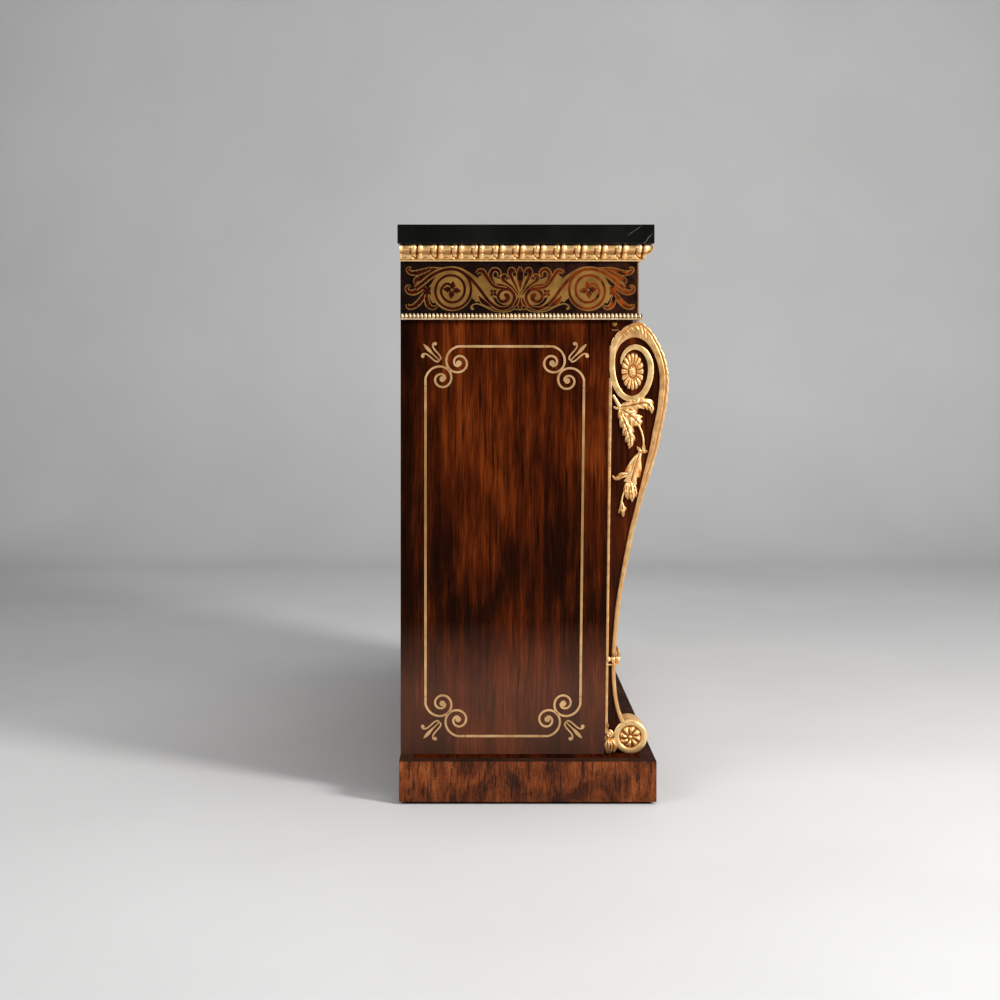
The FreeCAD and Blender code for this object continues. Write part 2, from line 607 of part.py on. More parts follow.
def console_outline(x):
    """The outer curve of a console and the curve inside its edging, in the plane across at x."""
    places = [console_place(*shares) for shares in OUTLINE_SHARES]
    places[0] = (front_at(places[0][1]), places[0][1])
    points = [spot(x, *place) for place in places]
    outer = spline(points)
    head_height = places[0][1] - size("edging_head")
    inner_points = [spot(x, front_at(head_height) + size("strip_width"), head_height)]
    last = len(points) - 1
    for index, point in enumerate(points[1:], start=1):
        along = outer.tangent(outer.parameter(point))[0]
        inward = Vector(1, 0, 0).cross(along)
        done = index / last
        width = size("edging_head") + done * size("edging_foot - edging_head")
        inner_points.append(point + inward * width)
    return outer, spline(inner_points)


def closed_face(curve, x, back):
    """The face between a console's curve and a back line that stands off the body's front by back."""
    foot = size(f"{PLINTH_TOP} + foot_block_height")
    first = curve.StartPoint
    last = curve.EndPoint
    under = Vector(x, last.y, foot)
    rear = spot(x, front_at(foot) + back, foot)
    edges = [curve.toShape(), Part.LineSegment(last, under).toShape(),
             Part.LineSegment(under, rear).toShape(), Part.LineSegment(rear, first).toShape()]
    return Part.Face(Part.Wire(edges))


def shaped(shape, name):
    """A document object that holds a worked-out shape."""
    item = doc.addObject("Part::Feature", name)
    item.Shape = shape
    item.Placement = Placement()
    return item


def volute(x):
    """The face of the volute's band: an oval spiral of one turn, drawn in evenly as it goes."""
    centre_forward = size(f"{SIDE_HEAD} + volute_out")
    centre_height = size(f"{SOFFIT} - volute_drop")
    rails = []
    for side in (1, -1):
        points = []
        for step in range(VOLUTE_POINTS):
            done = step / (VOLUTE_POINTS - 1)
            angle = math.pi * (1 + 2 * done)
            drawn = 1 - VOLUTE_DRAW_SHARE * done
            half_width = size("volute_half_width") * drawn + side * size("volute_band") / 2
            half_height = size("volute_half_height") * drawn + side * size("volute_band") / 2
            points.append(spot(x, centre_forward + half_width * math.cos(angle),
                               centre_height + half_height * math.sin(angle)))
        rails.append(spline(points))
    outer, inner = rails
    tip = Part.LineSegment(outer.EndPoint, inner.EndPoint)
    root = Part.LineSegment(inner.StartPoint, outer.StartPoint)
    edges = [outer.toShape(), tip.toShape(), inner.toShape(), root.toShape()]
    return Part.Face(Part.Wire(Part.sortEdges(edges)[0]))


def oval(x, half_width, half_height):
    """An oval face about the volute's centre."""
    centre = spot(x, size(f"{SIDE_HEAD} + volute_out"), size(f"{SOFFIT} - volute_drop"))
    ellipse = Part.Ellipse(centre + Vector(0, 0, half_height), centre + Vector(0, half_width, 0), centre)
    return Part.Face(Part.Wire(ellipse.toShape()))


def reach_at(height):
    """How far forward a console's outline stands at a height under its crown."""
    places = [console_place(*shares) for shares in OUTLINE_SHARES]
    for (upper_reach, upper), (lower_reach, lower) in zip(places, places[1:]):
        if lower <= height <= upper:
            return lower_reach + (upper_reach - lower_reach) * (height - lower) / (upper - lower)
    raise ValueError(f"the console has no outline at height {height}")


def leaf_place(out_share, rise_share):
    """A place on the console's face between the foot roll and the volute."""
    roll_top = size(f"{PLINTH_TOP} + 2 * foot_radius")
    volute_foot = size(f"{SOFFIT} - volute_drop - volute_half_height - volute_band / 2")
    height = roll_top + rise_share * (volute_foot - size("leaf_drop") - roll_top)
    forward = front_at(height) + out_share * (reach_at(height) - front_at(height))
    return forward, height


def leaf(x, shares):
    """A pointed leaf face between two arcs."""
    start = spot(x, *leaf_place(*shares[0:2]))
    tip = spot(x, *leaf_place(*shares[2:4]))
    along = tip - start
    swell = Vector(1, 0, 0).cross(along) * (shares[4] / 2)
    middle = (start + tip) / 2
    arcs = [Part.Arc(start, middle + swell, tip).toShape(), Part.Arc(tip, middle - swell, start).toShape()]
    return Part.Face(Part.Wire(arcs))


def on_both_faces(make_face, raise_size):
    """A relief raised from a face of the console's core, on the core's outer and its inner side."""
    outer = size(f"core_recess - {CONSOLE_OUTER}")
    inner = size(f"console_width - core_recess - {CONSOLE_OUTER}")
    height = size(raise_size)
    return [make_face(outer).extrude(Vector(-height, 0, 0)), make_face(inner).extrude(Vector(height, 0, 0))]


def make_consoles(behind):
    """Both scroll consoles: edging, core, volutes, rosettes, leaves, collar, foot roll and foot block."""
    outer_x = size(f"-{CONSOLE_OUTER}")
    width = Vector(size("console_width"), 0, 0)
    core_x = outer_x + size("core_recess")
    core_width = Vector(size("console_width - 2 * core_recess"), 0, 0)
    outer, inner = console_outline(outer_x)
    ring = closed_face(outer, outer_x, 0).cut(closed_face(inner, outer_x, size("strip_width")))
    edging = shaped(ring.extrude(width), "edging_blank")
    core_curve = console_outline(core_x)[1]
    core = shaped(closed_face(core_curve, core_x, size("strip_width")).extrude(core_width), "core_blank")

    foot_height = f"({PLINTH_TOP} + foot_radius)"
    roll = rod(f"-{CONSOLE_MIDDLE} - foot_width / 2", FOOT_FORWARD, foot_height,
               "foot_radius", "foot_width", ACROSS)
    roundel = rod(f"-{CONSOLE_MIDDLE} - foot_width / 2 - roundel_raise", FOOT_FORWARD, foot_height,
                  "roundel_radius", "foot_width + 2 * roundel_raise", ACROSS)
    foot = joined([roll, roundel], "foot_roll")
    clearance = rod(f"-{CONSOLE_OUTER} - overrun", FOOT_FORWARD, foot_height,
                    "foot_radius", "console_width + 2 * overrun", ACROSS)
    edging = cut(edging, [clearance], "edging")
    core = cut(core, [clearance], "core")

    across = (f"-{CONSOLE_OUTER}", f"console_width - {CONSOLE_OUTER}")
    block = board(across, ("0", f"{FOOT_FORWARD} - foot_radius - foot_block_gap"),
                  (PLINTH_TOP, f"{PLINTH_TOP} + foot_block_height"))
    block = cut(block, [behind], "foot_block")
    wrap = board((f"-{CONSOLE_OUTER} - collar_lap", f"console_width + collar_lap - {CONSOLE_OUTER}"),
                 ("0", COLLAR_FRONT),
                 (f"{PLINTH_TOP} + collar_rise", f"{PLINTH_TOP} + collar_rise + collar_height"))
    collar = cut(cut(wrap, [behind]), [edging, core], "collar")

    volutes = []
    for shape in on_both_faces(volute, "core_recess"):
        volutes.append(cut(shaped(shape, "volute_blank"), [edging, behind], "volute"))
    rosettes = []
    petals = on_both_faces(lambda x: oval(x, size("rosette_half_width"), size("rosette_half_height")),
                           "rosette_raise")
    bosses = on_both_faces(lambda x: oval(x, size("boss_half_width"), size("boss_half_height")),
                           "rosette_raise + boss_raise")
    for petal, boss in zip(petals, bosses):
        rosettes.append(shaped(petal.fuse(boss).removeSplitter(), "rosette"))
    leaves = []
    for shares in LEAF_SHARES:
        for shape in on_both_faces(lambda x: leaf(x, shares), "leaf_raise"):
            leaves.append(shaped(shape, "leaf"))

    for pieces, label in (([edging], "console_edgings"), ([core], "console_cores"),
                          ([foot], "console_feet"), ([block], "console_foot_blocks"),
                          ([collar], "console_collars"), (volutes, "console_volutes"),
                          (rosettes, "console_rosettes"), (leaves, "console_leaves")):
        group(pieces + [mirrored(piece) for piece in pieces], label)


def hinge_heights():
    """The middle of each hinge."""
    return [f"({DOOR_FOOT} + hinge_rise)", f"({DOOR_HEAD} - hinge_rise)"]


def hinge_span(middle):
    """A hinge's foot and head."""
    return (f"{middle} - hinge_height / 2", f"{middle} + hinge_height / 2")


def hinge_plate_fixed(middle):
    """The hinge plate let into the left pilaster."""
    return board((f"-{OPENING_HALF} - leaf_thickness", f"-{OPENING_HALF}"),
                 (f"{DOOR_FACE} - leaf_depth", f"{HINGE_FORWARD} + leaf_thickness"), hinge_span(middle))


def hinge_plate_door(middle):
    """The hinge plate let into the left door's edge."""
    return board((f"-{DOOR_EDGE}", f"leaf_thickness - {DOOR_EDGE}"),
                 (f"{DOOR_FACE} - leaf_depth", DOOR_FACE), hinge_span(middle))


def knuckle(foot, head):
    """A length of the left hinges' barrel between two heights."""
    return rod(f"-{HINGE_X}", HINGE_FORWARD, foot, "knuckle_radius", f"({head}) - ({foot})", UPRIGHT)


def make_hinges():
    """The left hinges: fixed leaves with outer knuckles and pin, door leaves with the middle knuckle."""
    fixed = []
    moving = []
    for middle in hinge_heights():
        foot, head = hinge_span(middle)
        lower = f"({middle} - hinge_height / 6)"
        upper = f"({middle} + hinge_height / 6)"
        pieces = [hinge_plate_fixed(middle),
                  rod(f"-{HINGE_X}", HINGE_FORWARD, foot, "hinge_pin_radius", "hinge_height", UPRIGHT)]
        arm = (f"{HINGE_FORWARD} - leaf_thickness", f"{HINGE_FORWARD} + leaf_thickness")
        reach = (f"-{OPENING_HALF} - leaf_thickness", f"-{HINGE_X}")
        for low, high in ((foot, f"{lower} - knuckle_gap / 2"), (f"{upper} + knuckle_gap / 2", head)):
            pieces += [knuckle(low, high), board(reach, arm, (low, high))]
        fixed.append(joined(pieces, "hinge_fixed"))
        span = (f"{lower} + knuckle_gap / 2", f"{upper} - knuckle_gap / 2")
        tab = board((f"-{DOOR_EDGE}", f"leaf_thickness - {DOOR_EDGE}"),
                    (f"{DOOR_FACE} - leaf_thickness", HINGE_FORWARD), span)
        solid = joined([hinge_plate_door(middle), tab, knuckle(*span)], "hinge_moving")
        bore = rod(f"-{HINGE_X}", HINGE_FORWARD, foot, "hinge_pin_radius + hinge_pin_play",
                   "hinge_height", UPRIGHT)
        moving.append(cut(solid, [bore], "hinge_door_leaf"))
    group(fixed + [mirrored(leaf_piece) for leaf_piece in fixed], "hinge_fixed_leaves")
    group(moving, "door_left_hinge_leaves")
    group([mirrored(leaf_piece) for leaf_piece in moving], "door_right_hinge_leaves")


def make_doors():
    """Both framed doors with panels and brass lines, the left one bored for its flush bolts."""
    depth = (DOOR_BACK, DOOR_FACE)
    height = (DOOR_FOOT, DOOR_HEAD)
    meeting = "(meeting_gap / 2)"
    hinge_sight = f"({DOOR_EDGE} - stile_width)"
    meeting_sight = f"({meeting} + stile_width)"
    rails = ((DOOR_FOOT, f"({DOOR_FOOT} + rail_width)"), (f"({DOOR_HEAD} - rail_width)", DOOR_HEAD))
    groove = (PANEL_BACK, PANEL_FRONT)
    panel = board((f"-{hinge_sight} - panel_tongue", f"panel_tongue - {meeting_sight}"), groove,
                  (f"{rails[0][1]} - panel_tongue", f"{rails[1][0]} + panel_tongue"))
    tenoned = (f"-{hinge_sight} - tenon_length", f"tenon_length - {meeting_sight}")
    tenons = [board(tenoned, groove, heights) for heights in rails]
    for tenon, (low, high), stem in zip(tenons, rails, ("bottom_rail", "top_rail")):
        rail = board((f"-{hinge_sight}", f"-{meeting_sight}"), depth, (low, high))
        whole = cut(joined([rail, tenon]), [panel])
        keep(whole, f"door_left_{stem}")
        keep(mirrored(whole), f"door_right_{stem}")
    plates = [hinge_plate_door(middle) for middle in hinge_heights()]
    hinge_stile = cut(board((f"-{DOOR_EDGE}", f"-{hinge_sight}"), depth, height), [panel] + tenons + plates)
    keep(hinge_stile, "door_left_hinge_stile")
    keep(mirrored(hinge_stile), "door_right_hinge_stile")

    line_span = (f"door_line_inset - {hinge_sight}", f"-{meeting_sight} - door_line_inset")
    line_rise = (f"{rails[0][1]} + door_line_inset", f"{rails[1][0]} - door_line_inset")
    let_in = (f"{PANEL_FRONT} - line_depth", PANEL_FRONT)
    whole_line = board(line_span, let_in, line_rise)
    hollow = board((f"{line_span[0]} + line_width", f"{line_span[1]} - line_width"),
                   (f"{let_in[0]} - overrun", f"{let_in[1]} + overrun"),
                   (f"{line_rise[0]} + line_width", f"{line_rise[1]} - line_width"))
    line = cut(whole_line, [hollow], "door_line")
    lined_panel = cut(panel, [line])
    keep(lined_panel, "door_left_panel")
    keep(mirrored(lined_panel), "door_right_panel")
    keep(line, "door_left_brass_line")
    keep(mirrored(line), "door_right_brass_line")

    blank = cut(board((f"-{meeting_sight}", f"-{meeting}"), depth, height), [panel] + tenons)
    pocket = board((f"-{meeting} - pocket_depth", f"overrun - {meeting}"), bolt_depth("bolt_play"),
                   bolt_span("bolt_play"))
    keep(cut(blank, [pocket] + make_flush_bolts()), "door_left_meeting_stile")
    keep(cut(mirrored(blank), make_lock()), "door_right_meeting_stile")


def bolt_depth(play):
    """How far forward the lock bolt lies, widened by a clearance."""
    middle = f"({DOOR_BACK} + lock_depth / 2)"
    return (f"{middle} - bolt_thickness / 2 - {play}", f"{middle} + bolt_thickness / 2 + {play}")


def bolt_span(play):
    """The lock bolt's underside and top, widened by a clearance."""
    return (f"{DOOR_MIDDLE} + bolt_rise - {play}", f"{DOOR_MIDDLE} + bolt_rise + bolt_height + {play}")


def make_flush_bolts():
    """The left door's two flush bolts; gives the bores and slots that the stile needs for them."""
    cuts = []
    x = "-(meeting_gap / 2 + rod_setting)"
    forward = f"({DOOR_BACK} + door_thickness / 2)"
    slack = "(knob_radius + knob_play)"
    head_end = f"({DOOR_HEAD} - rod_sink)"
    foot_end = f"({DOOR_FOOT} + rod_sink)"
    bolts = (
        (f"({head_end} - rod_length)", f"({head_end} - rod_length + knob_setting)", "0", "rod_throw", "head"),
        (foot_end, f"({foot_end} + rod_length - knob_setting)", "rod_throw", "0", "foot"),
    )
    for start, knob_height, below, above, name in bolts:
        shank = rod(x, forward, start, "rod_radius", "rod_length", UPRIGHT)
        knob = rod(x, f"{DOOR_BACK} - knob_reach", knob_height, "knob_radius",
                   "knob_reach + door_thickness / 2", AHEAD)
        keep(joined([shank, knob]), f"flush_bolt_{name}")
        cuts.append(rod(x, forward, f"{start} - rod_sink", "rod_radius + rod_play",
                        "rod_length + 2 * rod_sink", UPRIGHT))
        cuts.append(board((f"{x} - {slack}", f"{x} + {slack}"), (f"{DOOR_BACK} - overrun", forward),
                          (f"{knob_height} - {slack} - {below}", f"{knob_height} + {slack} + {above}")))
    return cuts


def make_lock():
    """The right door's lock, key and escutcheon; gives the cuts that the stile needs for them."""
    edge = "(meeting_gap / 2)"
    far = f"({edge} + lock_width)"
    depth = (DOOR_BACK, f"{DOOR_BACK} + lock_depth")
    low = f"({DOOR_MIDDLE} - lock_height / 2)"
    high = f"({DOOR_MIDDLE} + lock_height / 2)"
    key_x = f"({edge} + key_setting)"
    key_height = f"({DOOR_MIDDLE} - key_drop)"
    inner_back = f"({DOOR_BACK} + lock_wall)"
    shell = board((edge, far), depth, (low, high))
    hollow = board((f"{edge} + lock_wall", f"{far} - lock_wall"),
                   (inner_back, f"{depth[1]} - lock_wall"), (f"{low} + lock_wall", f"{high} - lock_wall"))
    slot = board((f"{edge} - overrun", f"{edge} + bolt_length / 2"), bolt_depth("bolt_play"),
                 bolt_span("bolt_play"))
    bore = rod(key_x, inner_back, key_height, "key_radius + key_play", "lock_depth", AHEAD)
    keep(cut(shell, [hollow, slot, bore]), "lock_case")
    keep(board((edge, f"{edge} + bolt_length"), bolt_depth("0"), bolt_span("0")), "lock_bolt")

    tail = f"({inner_back} + key_tail)"
    bow_forward = f"({DOOR_FACE} + key_reach + bow_radius)"
    shank = rod(key_x, tail, key_height, "key_radius", f"{DOOR_FACE} + key_reach - {tail}", AHEAD)
    bit = board((f"{key_x} - key_bit_thickness / 2", f"{key_x} + key_bit_thickness / 2"),
                (tail, f"{tail} + key_bit_length"), (f"{key_height} - key_bit", key_height))
    bow = doc.addObject("Part::Torus", "key_bow")
    bind(bow, "Radius1", "bow_radius")
    bind(bow, "Radius2", "bow_wire")
    bow.Placement = Placement(Vector(), ACROSS)
    bind(bow, "Placement.Base.x", key_x)
    bind(bow, "Placement.Base.y", f"{BACK_Y} - {bow_forward}")
    bind(bow, "Placement.Base.z", key_height)
    keep(joined([shank, bit, bow]), "key")

    plate = rounded_board((f"{key_x} - escutcheon_width / 2", f"{key_x} + escutcheon_width / 2"),
                          (DOOR_FACE, f"{DOOR_FACE} + escutcheon_thickness"),
                          (f"{key_height} - escutcheon_height / 2", f"{key_height} + escutcheon_height / 2"),
                          "escutcheon_corner", is_through, "escutcheon_plate")
    hole = rod(key_x, f"{DOOR_BACK} + lock_depth", key_height, "key_hole", "door_thickness", AHEAD)
    keep(cut(plate, [hole]), "escutcheon")
    return [shell, hole]


def is_through(middle, bounds):
    """Tell the edges that run through a plate from front to back."""
    return abs(middle.y - bounds.Center.y) < bounds.YLength / 4


def write_parts():
    """Check every object and every node's solid, then write one file for each node."""
    doc.recompute()
    for item in doc.Objects:
        if "Invalid" in item.State or "Error" in item.State:
            raise RuntimeError(f"{item.Label} ({item.Name}) failed: {item.State}")
    for item in nodes:
        if item.Shape.isNull() or not item.Shape.isValid() or not item.Shape.Solids:
            raise RuntimeError(f"{item.Label} has no valid solid")
    os.makedirs("parts", exist_ok=True)
    for item in nodes:
        item.Shape.exportStep(f"parts/{item.Label}.step")
    print(len(nodes), "nodes written")


fill_sheet()
behind_front = make_rake_block()
make_plinth()
make_body(behind_front)
make_frieze()
make_consoles(behind_front)
make_hinges()
make_doors()
write_parts()
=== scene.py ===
"""Looks of a brass-inlaid rosewood chiffonier: finishes, inlay, gilt carving, light and camera."""
import logging
import math
from dataclasses import dataclass
from enum import Enum
from typing import Callable, Sequence

import bmesh
import bpy
import numpy as np
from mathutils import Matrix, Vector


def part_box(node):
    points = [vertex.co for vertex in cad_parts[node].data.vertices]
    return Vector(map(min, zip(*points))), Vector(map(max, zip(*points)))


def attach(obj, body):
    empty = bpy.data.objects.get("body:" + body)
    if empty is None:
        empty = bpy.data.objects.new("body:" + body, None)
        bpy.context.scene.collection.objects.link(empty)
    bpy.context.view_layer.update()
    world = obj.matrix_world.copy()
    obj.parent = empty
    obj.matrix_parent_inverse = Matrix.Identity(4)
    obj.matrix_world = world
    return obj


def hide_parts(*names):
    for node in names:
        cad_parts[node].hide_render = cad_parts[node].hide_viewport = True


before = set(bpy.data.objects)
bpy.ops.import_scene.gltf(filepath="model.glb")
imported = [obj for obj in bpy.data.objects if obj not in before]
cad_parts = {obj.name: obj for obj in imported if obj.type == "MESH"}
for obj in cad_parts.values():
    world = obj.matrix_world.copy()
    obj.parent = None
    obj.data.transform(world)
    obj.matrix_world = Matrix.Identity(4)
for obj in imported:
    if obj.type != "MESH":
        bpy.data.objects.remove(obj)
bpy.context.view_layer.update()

LOG = logging.getLogger("chiffonier")
MM = 0.001
CABINET = "cabinet"
# How deep in a hollow each vertex lies; the gilding paints shade and dust from it.
HOLLOW = "hollow"
UP = (0.0, 0.0, 1.0)
EVEN = (1.0, 1.0, 1.0)
CREASE = math.radians(38.0)
WELD = 2e-6
SLIVER = 1e-6
Array = np.ndarray
Pair = tuple[float, float]
Triple = tuple[float, float, float]
Colour = Triple
Stroke = Sequence[Triple]
Place = Callable[[Array, Array, Array], Array]
Socket = bpy.types.NodeSocket
Material = bpy.types.Material


class Slot(Enum):
    """The record's material slots."""

    ROSEWOOD = "rosewood"
    GILTWOOD = "giltwood"
    BRASS = "brass"


class Grain(Enum):
    """Which way a board's grain runs, as stretches of the pattern along x, y and z."""

    ACROSS = (0.06, 1.0, 1.0)
    FORWARD = (1.0, 0.06, 1.0)
    UPRIGHT = (1.0, 1.0, 0.06)


class Inlay(Enum):
    """What a shape of the frieze is cut from."""

    BRASS = "brass"
    SHELL = "shell"


Shape = tuple[Inlay, Stroke]


# Surfaces

@dataclass
class Patch:
    """Vertices in metres, the quads that index them, and how deep in a hollow each lies, from 0 to 1."""

    vertices: Array
    quads: Array
    hollow: Array


def grid(points: Array, around: bool = False, hollow: Array | float = 0.0) -> Patch:
    """Cover a grid of points with quads, each between two neighbouring rows and columns.

    Args:
        points: rows by columns by 3.
        around: join the last column to the first.
        hollow: how deep in a hollow each point lies.

    Returns:
        The covered grid.
    """
    rows, columns = points.shape[:2]
    index = np.arange(rows * columns).reshape(rows, columns)
    if around:
        index = np.concatenate([index, index[:, :1]], axis=1)
    corners = [index[:-1, :-1], index[1:, :-1], index[1:, 1:], index[:-1, 1:]]
    depth = np.clip(np.broadcast_to(hollow, points.shape[:2]), 0, 1).reshape(-1)
    return Patch(points.reshape(-1, 3), np.stack(corners, axis=-1).reshape(-1, 4), depth)


def capped(sections: Array, hollow: Array | float = 0.0) -> Patch:
    """Cover a run of closed sections and draw each end in to its own middle.

    Args:
        sections: stations by points round the section by 3.
        hollow: how deep in a hollow each point lies.

    Returns:
        A closed shell.
    """
    middles = sections[[0, -1]].mean(axis=1, keepdims=True).repeat(sections.shape[1], axis=1)
    depth = np.broadcast_to(hollow, sections.shape[:2])
    return grid(np.concatenate([middles[:1], sections, middles[1:]]), around=True,
                hollow=np.concatenate([depth[:1], depth, depth[-1:]]))


def merged(patches: Sequence[Patch]) -> Patch:
    """Put patches together as one.

    Args:
        patches: the patches, which keep their own vertices.

    Returns:
        One patch of them all.
    """
    starts = np.cumsum([0] + [len(patch.vertices) for patch in patches[:-1]])
    quads = [patch.quads + start for patch, start in zip(patches, starts)]
    return Patch(np.concatenate([patch.vertices for patch in patches]), np.concatenate(quads),
                 np.concatenate([patch.hollow for patch in patches]))


def mirrored(patch: Patch) -> Patch:
    """The same patch on the other side of the cabinet's middle plane, faces still outwards."""
    return Patch(patch.vertices * np.array([-1.0, 1.0, 1.0]), patch.quads[:, ::-1], patch.hollow)


def both_sides(patch: Patch) -> Patch:
    """A left-hand patch together with its right-hand copy."""
    return merged([patch, mirrored(patch)])


def through(points: Sequence[Sequence[float]], count: int) -> Array:
    """A smooth curve through points, at even steps of its length.

    Each span is a cubic in the straight distance from point to point, whose slopes at its ends
    are weighed from the spans on either side.

    Args:
        points: two or more points, with any further columns such as a half width.
        count: how many places to give.

    Returns:
        count rows, with the points' columns.
    """
    knots = np.asarray(points, float)
    reach = np.concatenate([[0.0], np.cumsum(np.linalg.norm(np.diff(knots[:, :2], axis=0), axis=1))])
    slopes = np.gradient(knots, reach, axis=0)

    def at(places: Array) -> Array:
        """The cubic at distances from the first point."""
        first = np.clip(np.searchsorted(reach, places, side="right") - 1, 0, len(knots) - 2)
        gap = (reach[first + 1] - reach[first])[:, None]
        t = (places - reach[first])[:, None] / gap
        return ((1 + 2 * t) * (1 - t) ** 2 * knots[first] + t ** 2 * (3 - 2 * t) * knots[first + 1]
                + gap * (t * (1 - t) ** 2 * slopes[first] - t ** 2 * (1 - t) * slopes[first + 1]))

    fine = np.linspace(0, reach[-1], 16 * count)
    steps = np.linalg.norm(np.diff(at(fine)[:, :2], axis=0), axis=1)
    length = np.concatenate([[0.0], np.cumsum(steps)])
    return at(np.interp(np.linspace(0, length[-1], count), length, fine))


def sideways(path: Array) -> Array:
    """The unit vectors to the left of a flat path.

    Args:
        path: places by 2.

    Returns:
        places by 2.
    """
    along = np.gradient(path, axis=0)
    along /= np.maximum(np.linalg.norm(along, axis=1, keepdims=True), 1e-12)
    return np.stack([-along[:, 1], along[:, 0]], axis=1)


def beside(curve: Array, offsets: Array) -> Array:
    """Places to the left of a flat curve.

    Args:
        curve: stations by 2 or more columns.
        offsets: how far to the left, stations by points.

    Returns:
        Stations by points by 2.
    """
    return curve[:, None, :2] + sideways(curve[:, :2])[:, None, :] * offsets[..., None]


def both_edges(stroke: Stroke) -> Array:
    """Places on a band's outer edge and beside them on its inner one, its width to the left."""
    curve = np.array(stroke)
    return np.column_stack([curve[:, :2], beside(curve, curve[:, 2:])[:, 0]])


def circle(count: int) -> Array:
    """Even angles of a whole turn, without the last one."""
    return np.linspace(0, 2 * np.pi, count, endpoint=False)


def slope(x: Array, start: Array | float, end: Array | float) -> Array:
    """A number that runs from 0 to 1 while x runs from start to end, and is level outside."""
    return np.clip((x - start) / (end - start), 0, 1)


def bell(x: Array, middle: Array | float, half: float) -> Array:
    """A bell curve: 1 at its middle, and 1 / e at half its width from there."""
    return np.exp(-((x - middle) / half) ** 2)


def dome(x: Array) -> Array:
    """A half circle's height: 1 at 0, and 0 from 1 outwards."""
    return np.sqrt(np.clip(1 - x ** 2, 0, 1))


@dataclass(frozen=True)
class Face:
    """An upright face to draw on, in millimetres: a corner and the way right along it."""

    corner: Triple
    right: Triple

    def points(self, right: Array, up: Array, out: Array) -> Array:
        """Points in metres from distances right, up and out.

        Args:
            right: distances along the face.
            up: distances up the face.
            out: distances off the face.

        Returns:
            The points, with a last axis of 3.
        """
        ways = np.array([self.right, UP, np.cross(self.right, UP)])
        spread = np.stack(np.broadcast_arrays(right, up, out), axis=-1)
        return (spread @ ways + np.array(self.corner)) * MM


def strip(face: Face, stroke: Stroke, lift: float, depth: float, count: int = 40) -> Patch:
    """A flat strip of inlay: a rectangle carried along a curve, its width following the stroke.

    Args:
        face: the face that it lies in.
        stroke: places right and up with the half width there.
        lift: how far its top stands off the face.
        depth: how far it is let in.
        count: stations along it.

    Returns:
        A closed shell.
    """
    curve = through(stroke, count)
    flat = beside(curve, np.maximum(curve[:, 2:3], 0.02) * np.array([1.0, 1.0, -1.0, -1.0]))
    return capped(face.points(flat[..., 0], flat[..., 1], np.array([-depth, lift, lift, -depth])))


def disc(face: Face, centre: Pair, radius: float, lift: float, depth: float) -> Patch:
    """A flat round plate: a circle at its top and one at its foot, each drawn in to its middle.

    Args:
        face: the face that it lies in.
        centre: its middle on the face.
        radius: its radius.
        lift: how far its top stands off the face.
        depth: how far it is let in.

    Returns:
        A closed shell.
    """
    angle = circle(48)
    reach = np.array([0.0, radius, radius, 0.0])[:, None]
    out = np.array([lift, lift, -depth, -depth])[:, None]
    return grid(face.points(centre[0] + reach * np.cos(angle), centre[1] + reach * np.sin(angle), out),
                around=True)


def tube(stroke: Stroke, place: Place, out: float, count: int = 24) -> Patch:
    """A round stem: a circle carried along a curve, its radius following the stroke.

    Args:
        stroke: places on a face and the radius there.
        place: turns places right, up and out into points.
        out: how far its axis stands off the face.
        count: stations along it.

    Returns:
        A closed shell.
    """
    curve = through(stroke, count)
    angle = circle(10)
    radius = np.maximum(curve[:, 2:3], 0.05)
    flat = beside(curve, radius * np.cos(angle))
    return capped(place(flat[..., 0], flat[..., 1], out + radius * np.sin(angle)))


def ball(centre: Triple, radii: Triple, place: Place) -> Patch:
    """An egg shape: latitude from pole to pole by longitude.

    Args:
        centre: its middle as right, up and out.
        radii: its half sizes the same ways.
        place: turns places right, up and out into points.

    Returns:
        A closed shell.
    """
    latitude = np.linspace(-np.pi / 2, np.pi / 2, 11)[:, None]
    longitude = circle(18)
    right = centre[0] + radii[0] * np.cos(latitude) * np.cos(longitude)
    up = centre[1] + radii[1] * np.cos(latitude) * np.sin(longitude)
    out = centre[2] + radii[2] * np.sin(latitude) + 0 * longitude
    return grid(place(right, up, out), around=True)


